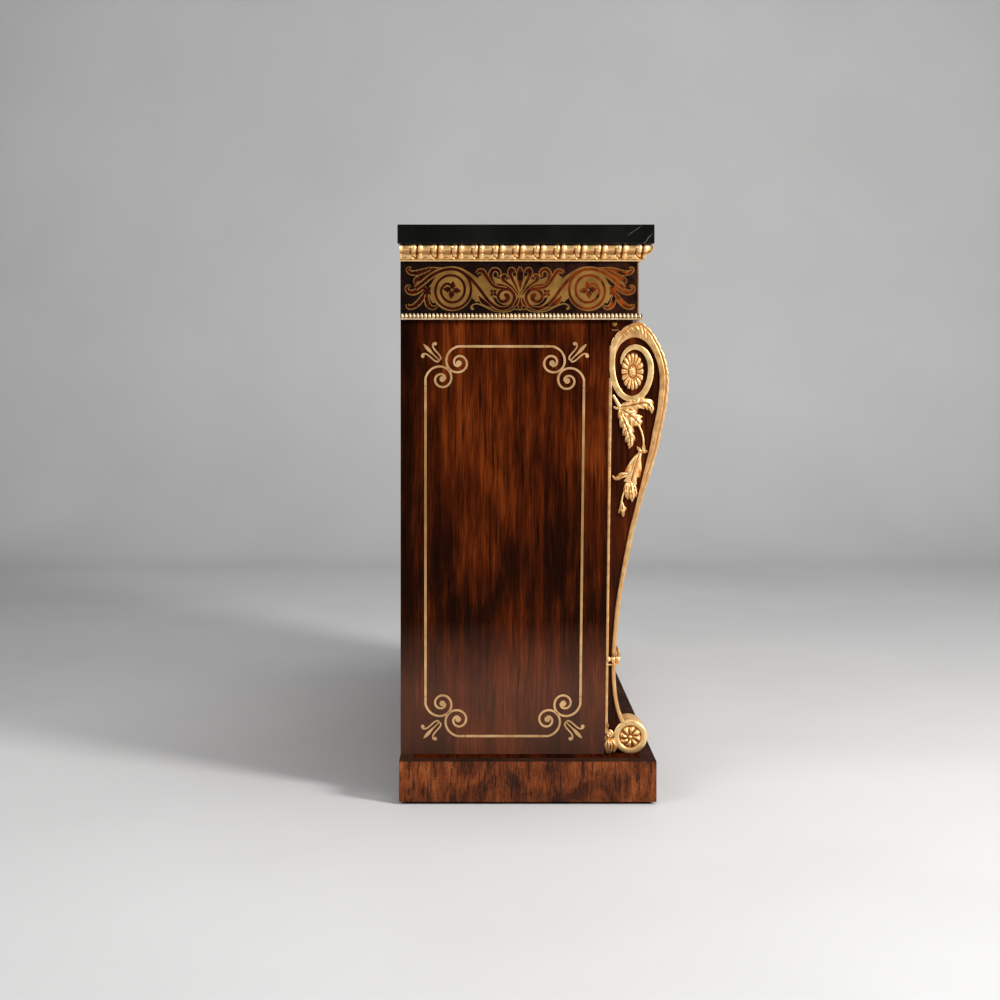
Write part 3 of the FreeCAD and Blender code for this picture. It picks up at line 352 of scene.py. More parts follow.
def leaf(stroke: Stroke, place: Place, rise: float, lobes: float, sunk: float = 0.8) -> Patch:
    """A carved leaf: a domed section along a curve, with a groove for a midrib and slanting veins.

    Its half width rises and falls as a saw does, which scallops the edge.

    Args:
        stroke: places on the face with the half width there.
        place: turns places right, up and out into points.
        rise: its height off the face.
        lobes: scallops along each edge.
        sunk: how far its foot is let into the face.

    Returns:
        A closed shell.
    """
    curve = through(stroke, 44)
    share = np.linspace(0, 1, len(curve))[:, None]
    q = np.linspace(-1, 1, 15)
    saw = np.mod(lobes * share, 1.0)
    scallop = 0.60 + 0.40 * np.sin(0.5 * np.pi * saw) * slope(saw, 1.0, 0.84)
    half = np.maximum(curve[:, 2:3], 0.3) * scallop
    side = sideways(curve[:, :2])
    along = np.column_stack([side[:, 1], -side[:, 0]])
    flame = 0.55 * half * np.abs(q) ** 1.6 * slope(share, 1.0, 0.8)
    flat = beside(curve, half * q) + along[:, None, :] * flame[..., None]
    phase = np.cos(2 * np.pi * (lobes * share - 0.30 * np.abs(q)))
    crest = 1 - np.abs(q) ** 2.6
    vein = 0.24 * np.abs(q) ** 0.7 * phase
    midrib = bell(q, 0.0, 0.12)
    ends = np.sin(np.pi * np.clip(share, 0.03, 0.97)) ** 0.35
    top = rise * ends * (0.24 + 0.76 * crest + vein - 0.36 * midrib)
    dark = 0.8 * midrib * np.clip(6 * (1 - share), 0, 1) + 0.75 * np.abs(q) * np.clip(-phase, 0, 1) ** 2
    ring = np.concatenate([flat, flat[:, ::-1]], axis=1)
    out = np.concatenate([top, np.full_like(top, -sunk)], axis=1)
    return capped(place(ring[..., 0], ring[..., 1], out), np.concatenate([dark, np.ones_like(dark)], axis=1))


# Finishes

class Nodes:
    """A material's node tree, with short ways to add and join nodes."""

    def __init__(self, name: str) -> None:
        """Start an empty material that ends in one principled shader."""
        self.material = bpy.data.materials.new(name)
        self.material.use_nodes = True
        self.tree = self.material.node_tree
        self.shader = self.tree.nodes["Principled BSDF"]

    def add(self, kind: str, settings: dict[str, object] | None = None,
            **inputs: object) -> bpy.types.Node:
        """Add a node.

        Args:
            kind: the node's type name after ShaderNode.
            settings: properties of the node.
            inputs: values for its sockets, with _ for a space.

        Returns:
            The node.
        """
        node = self.tree.nodes.new(f"ShaderNode{kind}")
        for key, value in (settings or {}).items():
            setattr(node, key, value)
        for key, value in inputs.items():
            self.set(node.inputs[key.replace("_", " ")], value)
        return node

    def set(self, socket: Socket, value: object) -> None:
        """Give a socket a value, or a link where the value is another socket."""
        if isinstance(value, Socket):
            self.tree.links.new(value, socket)
        else:
            socket.default_value = value

    def math(self, operation: str, *values: object, kind: str = "Math") -> bpy.types.Node:
        """Add a math node.

        Args:
            operation: what it works out.
            values: numbers, vectors or sockets, in the node's order.
            kind: Math or VectorMath.

        Returns:
            The node.
        """
        node = self.add(kind, {"operation": operation})
        for socket, value in zip(node.inputs, values):
            self.set(socket, value)
        return node

    def coordinates(self, scale: Triple = EVEN) -> Socket:
        """Object coordinates stretched by a scale."""
        source = self.add("TexCoord").outputs["Object"]
        return self.add("Mapping", Vector=source, Scale=scale).outputs["Vector"]

    def along(self, axis: str) -> Socket:
        """The object coordinate along an axis, in metres."""
        return self.add("SeparateXYZ", Vector=self.coordinates()).outputs[axis]

    def noise(self, scale: Triple | float, detail: float, distortion: float = 0.0) -> Socket:
        """Cloudy noise on object coordinates, in periods per metre along each axis or along all of them."""
        scale = scale if isinstance(scale, tuple) else (scale,) * 3
        node = self.add("TexNoise", Vector=self.coordinates(scale), Scale=1.0, Detail=detail,
                        Distortion=distortion)
        return node.outputs["Fac"]

    def ramp(self, factor: Socket, stops: Sequence[tuple[float, Colour]]) -> Socket:
        """Colours read from a factor.

        Args:
            factor: the number that picks the colour.
            stops: places from 0 to 1 and their colours, in linear light.

        Returns:
            The colour socket.
        """
        node = self.add("ValToRGB", Fac=factor)
        elements = node.color_ramp.elements
        for place, _ in stops[2:]:
            elements.new(place)
        for element, (place, colour) in zip(elements, sorted(stops)):
            element.position = place
            element.color = (*colour, 1.0)
        return node.outputs["Color"]

    def span(self, factor: Socket, low: float, high: float, start: float = 0.0, end: float = 1.0) -> Socket:
        """A number that runs from low to high while the factor runs from start to end."""
        node = self.add("MapRange", Value=factor, From_Min=start, From_Max=end, To_Min=low, To_Max=high)
        return node.outputs["Result"]

    def sum(self, first: Socket, *parts: tuple[Socket, float]) -> Socket:
        """The first number plus a share of each further one."""
        total = first
        for number, share in parts:
            total = self.math("MULTIPLY_ADD", number, share, total).outputs["Value"]
        return total

    def blend(self, factor: Socket, base: object, top: object) -> Socket:
        """One colour laid over another by a factor.

        Args:
            factor: how much of the top colour shows.
            base: the colour below.
            top: the colour above.

        Returns:
            The mixed colour.
        """
        node = self.add("MixRGB")
        for place, value in enumerate((factor, base, top)):
            self.set(node.inputs[place], (*value, 1.0) if isinstance(value, tuple) else value)
        return node.outputs["Color"]

    def relief(self, height: Socket, strength: float, distance: float) -> None:
        """Bump the shader's surface by a height."""
        node = self.add("Bump", Height=height, Strength=strength, Distance=distance)
        self.set(self.shader.inputs["Normal"], node.outputs["Normal"])

    def surface(self, **inputs: object) -> None:
        """Set the shader's sockets, with _ for a space."""
        for key, value in inputs.items():
            self.set(self.shader.inputs[key.replace("_", " ")], value)


@dataclass(frozen=True)
class Finish:
    """A named finish, whose kinds each lay out their own nodes."""

    name: str

    def material(self) -> Material:
        """Build the finish.

        Returns:
            The material.
        """
        nodes = Nodes(self.name)
        self.paint(nodes)
        return nodes.material

    def paint(self, nodes: Nodes) -> None:
        """Lay out the finish's nodes."""
        raise NotImplementedError


@dataclass(frozen=True)
class PolishedTimber(Finish):
    """French-polished timber: broad figure, dark streaks and fine pores, all drawn out along the grain. With
    a heart, it also has painted shade at the back edge and a painted floor reflection at the foot.
    """

    grain: Grain
    dark: Colour = (0.0040, 0.0015, 0.0008)
    deep: Colour = (0.0160, 0.0031, 0.0010)
    middle: Colour = (0.0560, 0.0088, 0.0016)
    light: Colour = (0.165, 0.0310, 0.0048)
    fleck: Colour | None = None
    heart: Pair | None = None
    broad: float = 6.0
    figure: float = 15.0
    streak: float = 90.0
    pore: float = 430.0
    gloss: float = 0.16
    shine: float = 0.10
    floor_reflection: Colour = (0.130, 0.066, 0.046)
    polish: Colour = (1.0, 0.82, 0.66)
    short: float = 1.0
    cap: float | None = None
    oval: float = 0.11
    back_shade_zone: Pair = (0.120, 0.20)
    front_zone: Pair = (0.010, 0.050)
    head_zone: Pair = (0.30, 0.54)
    foot_zone: Pair = (0.17, 0.28)
    tone_zone: Pair = (0.99, 1.83)
    line_zone: Pair = (0.33, 0.42)
    fleck_zone: Pair = (0.82, 0.91)

    def scale(self, periods: float, along: float) -> Triple:
        """Periods per metre along each axis, few of them along the grain."""
        drawn = along * self.short
        return tuple(periods * (share if share == 1.0 else share * drawn) for share in self.grain.value)

    def arches(self, nodes: Nodes) -> tuple[Socket, Socket]:
        """Growth rings cut aslant: long ovals about the heart, with shifts of tone over the board.

        Painted shade makes the board darkest at its back edge; it is also darker a little above its foot and
        paler towards its head.

        Args:
            nodes: the material's nodes.

        Returns:
            The rings and tone shifts together, and how much of the painted floor reflection at the foot a
            place has.
        """
        forward, height = self.heart
        shift = nodes.math("SUBTRACT", nodes.coordinates((0.0, 1.0, self.oval)),
                           (0.0, forward, self.oval * height), kind="VectorMath")
        rings = nodes.add("TexWave", {"wave_type": "RINGS", "rings_direction": "SPHERICAL"},
                          Vector=shift.outputs["Vector"], Scale=14.0, Distortion=5.0, Detail=4.0,
                          Detail_Scale=9.0)
        depth, rise = nodes.along("Y"), nodes.along("Z")
        # Painted shade: darker towards the back edge.
        back = nodes.span(depth, 0.0, 1.0, *self.back_shade_zone)
        front = nodes.span(depth, 1.0, 0.0, *self.front_zone)
        head = nodes.span(rise, -0.8, 2.0, *self.head_zone)
        foot = nodes.span(rise, 1.0, 0.0, *self.foot_zone)
        shade = nodes.sum(rings.outputs["Fac"], (back, -4.0), (front, -1.6), (head, 1.0), (foot, 2.0))
        return shade, foot

    def paint(self, nodes: Nodes) -> None:
        """Lay out the finish's nodes."""
        figure = nodes.noise(self.scale(self.figure, 3.0), 5.0, 1.1)
        streak = nodes.noise(self.scale(self.streak, 0.5), 4.0, 0.3)
        pore = nodes.noise(self.scale(self.pore, 0.6), 2.0)
        broad = nodes.noise(self.scale(self.broad, 4.0), 2.0, 0.8)
        tone = nodes.sum(figure, (streak, 0.50), (pore, 0.50), (broad, 0.80))
        foot = None
        if self.heart:
            shade, foot = self.arches(nodes)
            tone = nodes.sum(tone, (shade, 0.10))
        tone = nodes.span(tone, 0.0, 1.0, *self.tone_zone)
        stops = [(0.0, self.dark), (1.0, self.light), (0.34, self.deep), (0.62, self.middle)]
        colour = nodes.ramp(tone, stops)
        lines = nodes.noise(self.scale(self.streak * 2.8, 0.35), 3.0, 0.4)
        colour = nodes.blend(nodes.span(lines, 0.8, 0.0, *self.line_zone), colour, self.dark)
        # Painted reflection of the floor: a hazy, lighter brown laid over the side's foot.
        if foot is not None:
            colour = nodes.blend(nodes.span(foot, 0.0, 0.35), colour, self.floor_reflection)
        if self.fleck:
            chips = nodes.sum(nodes.noise(self.scale(620.0, 3.0), 2.0), (figure, 0.35))
            colour = nodes.blend(nodes.span(chips, 0.0, 0.8, *self.fleck_zone), colour, self.fleck)
        # Painted shade: above this height the plinth's top edge is painted near black.
        if self.cap:
            above = nodes.span(nodes.along("Z"), 0.0, 0.85, self.cap - 0.0004, self.cap)
            colour = nodes.blend(above, colour, self.dark)
        nodes.relief(pore, 0.05, 0.0004)
        nodes.surface(Base_Color=colour, Roughness=nodes.span(pore, self.gloss, self.gloss + 0.16),
                      Specular_IOR_Level=self.shine, Specular_Tint=(*self.polish, 1.0))


@dataclass(frozen=True)
class Gilding(Finish):
    """Burnished gold leaf on a red clay ground, rubbed on high spots, with dust and painted shade in the
    hollows and creases.
    """

    gold: Colour = (0.86, 0.50, 0.185)
    pale: Colour = (0.92, 0.64, 0.30)
    clay: Colour = (0.40, 0.135, 0.035)
    amber: Colour = (0.60, 0.24, 0.052)
    dirt_and_shade: Colour = (0.17, 0.058, 0.012)
    roughness: float = 0.30
    rub_zone: Pair = (0.60, 0.74)
    crease_zone: Pair = (0.41, 0.50)
    amber_zone: Pair = (0.0, 0.45)
    dirt_and_shade_zone: Pair = (0.40, 1.0)

    def paint(self, nodes: Nodes) -> None:
        """Lay out the finish's nodes."""
        mottle = nodes.noise(90.0, 5.0)
        speck = nodes.noise(420.0, 3.0)
        colour = nodes.ramp(mottle, [(0.32, self.gold), (0.68, self.pale)])
        rubbed = nodes.span(speck, 0.0, 0.75, *self.rub_zone)
        colour = nodes.blend(rubbed, colour, self.clay)
        # Painted shade with dust: creases and carved hollows go amber, and the deepest go dark brown.
        point = nodes.add("NewGeometry").outputs["Pointiness"]
        crease = nodes.span(point, 0.8, 0.0, *self.crease_zone)
        carved = nodes.add("Attribute", {"attribute_name": HOLLOW}).outputs["Fac"]
        shade = nodes.math("MAXIMUM", crease, nodes.span(carved, 0.0, 0.92)).outputs["Value"]
        colour = nodes.blend(nodes.span(shade, 0.0, 1.0, *self.amber_zone), colour, self.amber)
        colour = nodes.blend(nodes.span(shade, 0.0, 1.0, *self.dirt_and_shade_zone), colour, self.dirt_and_shade)
        nodes.relief(speck, 0.12, 0.0006)
        nodes.surface(Base_Color=colour, Metallic=0.72,
                      Roughness=nodes.span(mottle, self.roughness, self.roughness + 0.22, 0.3, 0.7))


@dataclass(frozen=True)
class CutBrass(Finish):
    """Sheet brass, dulled unevenly and finely scratched."""

    bright: Colour = (0.40, 0.205, 0.046)
    dull: Colour = (0.255, 0.120, 0.024)
    roughness: float = 0.34
    dim_band: Colour | None = None
    dim_band_starts: Pair = (0.22, 0.40)
    dim_band_ends: Pair = (0.52, 0.68)

    def paint(self, nodes: Nodes) -> None:
        """Lay out the finish's nodes."""
        cloud = nodes.noise(38.0, 5.0)
        scratch = nodes.noise((60.0, 1400.0, 1400.0), 2.0)
        colour = nodes.ramp(nodes.sum(cloud, (scratch, 0.25)), [(0.46, self.dull), (0.78, self.bright)])
        # Darker in a band across the middle heights.
        if self.dim_band:
            height = nodes.along("Z")
            below = nodes.span(height, 1.0, 0.0, *self.dim_band_ends)
            both = nodes.sum(nodes.span(height, 0.0, 1.0, *self.dim_band_starts), (below, 1.0))
            colour = nodes.blend(nodes.span(both, 0.0, 0.75, 1.0, 2.0), colour, self.dim_band)
        nodes.relief(scratch, 0.06, 0.0002)
        nodes.surface(Base_Color=colour, Metallic=0.75,
                      Roughness=nodes.span(cloud, self.roughness, self.roughness + 0.2))


@dataclass(frozen=True)
class Shell(Finish):
    """Polished red-stained shell, mottled with dark clouds and redder towards the cabinet's front."""

    red: Colour
    dark: Colour
    front_red: Colour
    depth_back: float = 0.06
    depth_front: float = -0.16

    def paint(self, nodes: Nodes) -> None:
        """Lay out the finish's nodes."""
        cloud = nodes.noise(55.0, 5.0, 0.8)
        forward = nodes.span(nodes.along("Y"), 0.0, 1.0, self.depth_back, self.depth_front)
        tone = nodes.blend(forward, self.red, self.front_red)
        colour = nodes.blend(nodes.span(cloud, 1.0, 0.0, 0.34, 0.58), tone, self.dark)
        nodes.relief(cloud, 0.02, 0.0003)
        nodes.surface(Base_Color=colour, Roughness=nodes.span(cloud, 0.16, 0.28),
                      Specular_IOR_Level=0.08)


@dataclass(frozen=True)
class BlackMarble(Finish):
    """Polished black marble with a few thin white veins and grey clouds."""

    black: Colour = (0.0034, 0.0032, 0.0027)
    cloud: Colour = (0.0085, 0.0083, 0.0074)
    vein: Colour = (0.22, 0.22, 0.205)
    side_veins: tuple[tuple[Pair, Pair], ...] = (
        ((-0.1657, 0.9068), (-0.1451, 0.8910)), ((-0.1878, 0.8989), (-0.1744, 0.8823)))
    left_face: float = -0.530
    lean: float = 0.62
    shake: float = 0.012
    vein_half: float = 0.00055

    def paint(self, nodes: Nodes) -> None:
        """Lay out the finish's nodes."""
        haze = nodes.noise(9.0, 6.0, 0.5)
        colour = nodes.ramp(haze, [(0.35, self.black), (0.75, self.cloud)])
        source = nodes.coordinates()
        warp = nodes.add("TexNoise", Vector=source, Scale=5.0, Detail=5.0)
        bent = nodes.add("MixRGB", {"blend_type": "LINEAR_LIGHT"}, Fac=0.16, Color1=source,
                         Color2=warp.outputs["Color"])
        crack = nodes.add("TexVoronoi", {"feature": "DISTANCE_TO_EDGE"}, Vector=bent.outputs["Color"],
                          Scale=4.2).outputs["Distance"]
        some = nodes.span(nodes.noise(4.0, 2.0), 0.0, 0.5, 0.56, 0.68)
        mask = nodes.math("MULTIPLY", nodes.span(crack, 1.0, 0.0, 0.0, 0.005), some)
        colour = nodes.blend(mask.outputs["Value"], colour, self.vein)
        for first, second in self.side_veins:
            colour = nodes.blend(self.line(nodes, first, second), colour, self.vein)
        nodes.surface(Base_Color=colour, Roughness=nodes.span(haze, 0.07, 0.16),
                      Specular_IOR_Level=0.2)

    def line(self, nodes: Nodes, first: Pair, second: Pair) -> Socket:
        """A thin wavering vein: what lies near a leaning plane through two places, shaken by noise.

        Args:
            nodes: the material's nodes.
            first: the y and z in metres of a place on the left face.
            second: those of another.

        Returns:
            The vein's mask.
        """
        rise, run = second[1] - first[1], second[0] - first[0]
        size = math.hypot(rise, run)
        normal = (self.lean, rise / size, -run / size)
        dot = nodes.math("DOT_PRODUCT", nodes.coordinates(), normal, kind="VectorMath").outputs["Value"]
        shaken = nodes.sum(dot, (nodes.noise((3.0, 26.0, 26.0), 3.0), self.shake))
        level = self.left_face * self.lean + first[0] * normal[1] + first[1] * normal[2] + self.shake / 2
        near = nodes.math("COMPARE", shaken, level, self.vein_half).outputs["Value"]
        broken = nodes.span(nodes.noise(40.0, 3.0), 0.0, 0.45, 0.44, 0.56)
        return nodes.math("MULTIPLY", near, broken).outputs["Value"]


@dataclass(frozen=True)
class StagePaint(Finish):
    """Plain matt paint of the floor and backdrop, with a faint unevenness."""

    light: Colour = (0.60, 0.595, 0.59)
    shade: Colour = (0.55, 0.545, 0.54)

    def paint(self, nodes: Nodes) -> None:
        """Lay out the finish's nodes."""
        cloud = nodes.noise(1.5, 4.0)
        colour = nodes.ramp(cloud, [(0.3, self.shade), (0.7, self.light)])
        nodes.surface(Base_Color=colour, Roughness=0.55, Specular_IOR_Level=0.3)


class Palette:
    """Every finish of the cabinet, built once."""

    def __init__(self) -> None:
        """Build the finishes."""
        self.rosewood: dict[Grain, Material] = {}
        self.mahogany: dict[Grain, Material] = {}
        for grain in (Grain.ACROSS, Grain.UPRIGHT):
            word = grain.name.lower()
            self.rosewood[grain] = PolishedTimber(f"rosewood_{word}", grain).material()
            self.mahogany[grain] = PolishedTimber(
                f"mahogany_{word}", grain, (0.050, 0.016, 0.007), (0.105, 0.036, 0.013),
                (0.170, 0.062, 0.022), (0.240, 0.098, 0.036), gloss=0.34).material()
        self.oak = PolishedTimber(
            "dark_oak", Grain.FORWARD, (0.008, 0.005, 0.003), (0.018, 0.011, 0.006),
            (0.032, 0.020, 0.010), (0.052, 0.032, 0.016), gloss=0.5).material()
        self.side = PolishedTimber("rosewood_side", Grain.UPRIGHT, heart=(0.065, 0.50), short=1.6,
                                   shine=0.03).material()
        self.plinth = PolishedTimber(
            "rosewood_plinth", Grain.UPRIGHT, (0.0140, 0.0090, 0.0074), (0.049, 0.0160, 0.0088),
            (0.160, 0.0390, 0.0125), (0.310, 0.0920, 0.0260), fleck=(0.42, 0.20, 0.085), short=5.0,
            cap=0.0673, shine=0.0005).material()
        self.lid = PolishedTimber("rosewood_lid", Grain.ACROSS, shine=0.0005).material()
        self.gilt = Gilding("water_gilding").material()
        self.band_gilt = Gilding("band_gilding", (0.69, 0.350, 0.118), (0.76, 0.455, 0.195)).material()
        self.bead_gilt = Gilding("bead_gilding", (0.56, 0.37, 0.195), (0.74, 0.56, 0.35), (0.24, 0.12, 0.05),
                                 (0.30, 0.15, 0.06), (0.034, 0.016, 0.007)).material()
        self.brass = CutBrass("cut_brass").material()
        self.line_brass = CutBrass("line_brass", (0.86, 0.520, 0.250), (0.60, 0.340, 0.140),
                                   dim_band=(0.40, 0.205, 0.060)).material()
        self.shell = Shell("red_shell", (0.042, 0.0050, 0.0022), (0.012, 0.0024, 0.0016),
                           (0.230, 0.040, 0.0062)).material()
        self.ground = Shell("dark_shell", (0.0105, 0.0042, 0.0032), (0.0042, 0.0022, 0.0018),
                            (0.030, 0.0085, 0.0052)).material()
        self.marble = BlackMarble("black_marble").material()


# Pieces

def make_piece(name: str, patch: Patch, material: Material, replaces: Sequence[str] = ()) -> None:
    """Make a patch a piece of the cabinet: weld its seams, turn its faces out, dress it and let it ride.

    Args:
        name: the piece's name.
        patch: its surface.
        material: its finish.
        replaces: CAD nodes that it stands for.
    """
    mesh = bpy.data.meshes.new(name)
    mesh.from_pydata(patch.vertices.tolist(), [], patch.quads.tolist())
    mesh.attributes.new(HOLLOW, "FLOAT", "POINT").data.foreach_set("value", patch.hollow)
    work = bmesh.new()
    work.from_mesh(mesh)
    bmesh.ops.remove_doubles(work, verts=work.verts, dist=WELD)
    bmesh.ops.dissolve_degenerate(work, edges=work.edges, dist=SLIVER)
    bmesh.ops.recalc_face_normals(work, faces=work.faces)
    work.to_mesh(mesh)
    work.free()
    mesh.shade_smooth()
    mesh.set_sharp_from_angle(angle=CREASE)
    mesh.materials.append(material)
    piece = bpy.data.objects.new(name, mesh)
    bpy.context.scene.collection.objects.link(piece)
    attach(piece, CABINET)
    if replaces:
        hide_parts(*replaces)
    LOG.info("%s: %d faces", name, len(mesh.polygons))


def dress(node: str, material: Material) -> None:
    """Give a CAD node a finish."""
    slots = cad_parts[node].data.materials
    slots.clear()
    slots.append(material)
    LOG.info("%s: %s", node, material.name)


@dataclass
class Casework:
    """Plinth, cupboard, frieze boards, marble and doors: CAD nodes that keep their shape."""

    palette: Palette
    plinth: tuple[str, ...] = ("plinth_front", "plinth_side_left", "plinth_side_right", "plinth_back")
    sides: tuple[str, ...] = ("side_left", "side_right")
    upright: tuple[str, ...] = (
        "pilaster_left", "pilaster_right", "console_cores", "door_left_hinge_stile",
        "door_left_meeting_stile", "door_left_panel", "door_right_hinge_stile",
        "door_right_meeting_stile", "door_right_panel")
    across: tuple[str, ...] = ("door_left_top_rail", "door_left_bottom_rail",
                               "door_right_top_rail", "door_right_bottom_rail")
    inside_upright: tuple[str, ...] = ("back_panel",)
    inside_across: tuple[str, ...] = ("cupboard_bottom", "shelf_lower", "shelf_upper", "frieze_back",
                                      "soffit", "top_board")
    oak: tuple[str, ...] = ("floor_runners", "plinth_glue_blocks")
    metal: tuple[str, ...] = (
        "shelf_pins", "hinge_fixed_leaves", "door_left_hinge_leaves", "door_right_hinge_leaves",
        "lock_case", "escutcheon", "lock_bolt", "key", "flush_bolt_head", "flush_bolt_foot")
    door_lines: tuple[str, ...] = ("door_left_brass_line", "door_right_brass_line")
    friezes: tuple[str, ...] = ("frieze_left", "frieze_right", "frieze_front")

    def dress(self) -> None:
        """Give each CAD node that stays in sight its finish."""
        palette = self.palette
        for nodes, material in (
                (self.plinth, palette.plinth), (self.sides, palette.side), (("plinth_lid",), palette.lid),
                (self.upright, palette.rosewood[Grain.UPRIGHT]), (self.door_lines, palette.line_brass),
                (self.across, palette.rosewood[Grain.ACROSS]),
                (self.inside_upright, palette.mahogany[Grain.UPRIGHT]),
                (self.inside_across, palette.mahogany[Grain.ACROSS]),
                (self.oak, palette.oak), (self.metal, palette.brass),
                (self.friezes, palette.ground), (("marble_top",), palette.marble)):
            for node in nodes:
                dress(node, material)


@dataclass
class SideInlay:
    """The brass line let into each side panel, with scrolls and a lily in each corner."""

    palette: Palette
    half_line: float = 1.95
    half_scroll: float = 1.68
    tail: float = 11.0
    joint: float = 0.8
    lift: float = 0.06
    hair: float = 0.01
    depth: float = 0.7
    back_line: float = 39.8
    front_line_foot: float = 286.7
    front_line_head: float = 293.9
    foot_line: float = 95.95
    head_line: float = 718.75
    scroll_along: float = 52.2
    scroll_in: float = 27.0
    scroll_turns: float = 1.5
    dot: float = 4.6
    lily_ball: Pair = (-4.3, 15.4)
    lily_dot: float = 2.9
    lily_middle: Stroke = (
        (21.4, 21.6, 0.8), (16.0, 16.2, 1.0), (11.2, 11.6, 1.3), (8.0, 8.3, 2.1), (4.6, 4.6, 2.7),
        (1.0, 0.8, 2.3), (-3.2, -3.7, 0.4))
    lily_side: Stroke = (
        (22.2, 22.4, 1.1), (19.9, 24.4, 1.25), (15.8, 23.4, 1.25), (10.6, 19.4, 1.2), (5.2, 14.7, 1.2),
        (1.6, 12.4, 1.2), (-1.8, 11.8, 1.3), (-4.6, 13.0, 1.5), (-5.2, 14.8, 1.8))
    scroll_radii: tuple[float, ...] = (27.0, 19.7, 14.2, 12.8, 11.5, 7.4, 4.0)
    head_shifts: tuple[Pair, ...] = ((1.2, 0.0), (-0.6, 2.8))

    def scroll(self) -> Array:
        """A corner's scroll, from the straight line inwards, measured along and in from the line.

        A short straight tail comes first; then the radius falls smoothly from the line's distance
        to the dot as the angle goes round.

        Returns:
            Places along and in with the half width there; the last row is the dot and its radius.
        """
        turn = np.linspace(0, 1, 40)
        angle = np.pi / 2 + 2 * np.pi * self.scroll_turns * turn
        shares = np.linspace(0, 1, len(self.scroll_radii))
        smooth = through(np.column_stack([shares, np.zeros_like(shares), self.scroll_radii]), 80)
        radius = np.interp(turn, smooth[:, 0], smooth[:, 2])
        along = np.concatenate([self.scroll_along + np.linspace(self.tail, 2.0, 5),
                                self.scroll_along + radius * np.cos(angle), [self.scroll_along]])
        inward = np.concatenate([np.zeros(5), self.scroll_in - radius * np.sin(angle), [self.scroll_in]])
        halves = np.concatenate([np.linspace(self.half_line, self.half_scroll, 5),
                                 np.full_like(turn, self.half_scroll), [self.dot]])
        return np.column_stack([along, inward, halves])

    def lily(self) -> list[Stroke]:
        """The corner's lily: a middle petal and two side tendrils, as distances from the two lines."""
        other = [(up, along, half) for along, up, half in self.lily_side]
        return [self.lily_middle, self.lily_side, other]

    def build(self) -> None:
        """Make the inlay of both sides."""
        low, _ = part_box("side_left")
        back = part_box("plinth_back")[1].y / MM
        face = Face((low.x / MM, back, 0.0), (0.0, -1.0, 0.0))
        rise = (self.front_line_head - self.front_line_foot) / (self.head_line - self.foot_line)
        corners = {
            (0, 0): (self.back_line, self.foot_line, 1, 1),
            (1, 0): (self.front_line_foot, self.foot_line, -1, 1),
            (0, 1): (self.back_line, self.head_line, 1, -1),
            (1, 1): (self.front_line_head, self.head_line, -1, -1),
        }
        patches = []
        scroll = self.scroll()
        for start_key, end_key, level in (((0, 0), (1, 0), True), ((0, 1), (1, 1), True),
                                          ((0, 0), (0, 1), False), ((1, 0), (1, 1), False)):
            ends = []
            for key in (start_key, end_key):
                x, z, way_x, way_z = corners[key]
                shift = key[1] * self.head_shifts[key[0]][int(not level)]
                places = scroll[:, :2] + (shift, 0.0)
                along, inward = places.T if level else places.T[::-1]
                lean = 0.0 if level or key[0] == 0 else rise
                laid = np.column_stack([x + way_x * along + lean * way_z * inward, z + way_z * inward])
                stroke = np.column_stack([laid, scroll[:, 2]])
                patches.append(strip(face, stroke[:-1], self.lift, self.depth, 180))
                patches.append(disc(face, laid[-1], stroke[-1, 2], self.lift + self.hair, self.depth))
                ends.append(laid[0])
            gap = self.joint * (ends[1] - ends[0]) / np.linalg.norm(ends[1] - ends[0])
            line = np.linspace(ends[0] + gap, ends[1] - gap, 12)
            stroke = np.column_stack([line, np.full(12, self.half_line)])
            patches.append(strip(face, stroke, self.lift, self.depth, 24))
        for x, z, way_x, way_z in corners.values():
            for along, inward in (self.lily_ball, self.lily_ball[::-1]):
                centre = (x + way_x * along, z + way_z * inward)
                patches.append(disc(face, centre, self.lily_dot, self.lift + 3 * self.hair, self.depth))
            for petal in self.lily():
                stroke = [(x + way_x * along, z + way_z * up, half) for along, up, half in petal]
                patches.append(strip(face, stroke, self.lift + 2 * self.hair, self.depth))
        make_piece("side_line_inlay", both_sides(merged(patches)), self.palette.line_brass,
                   replaces=("side_brass_lines",))


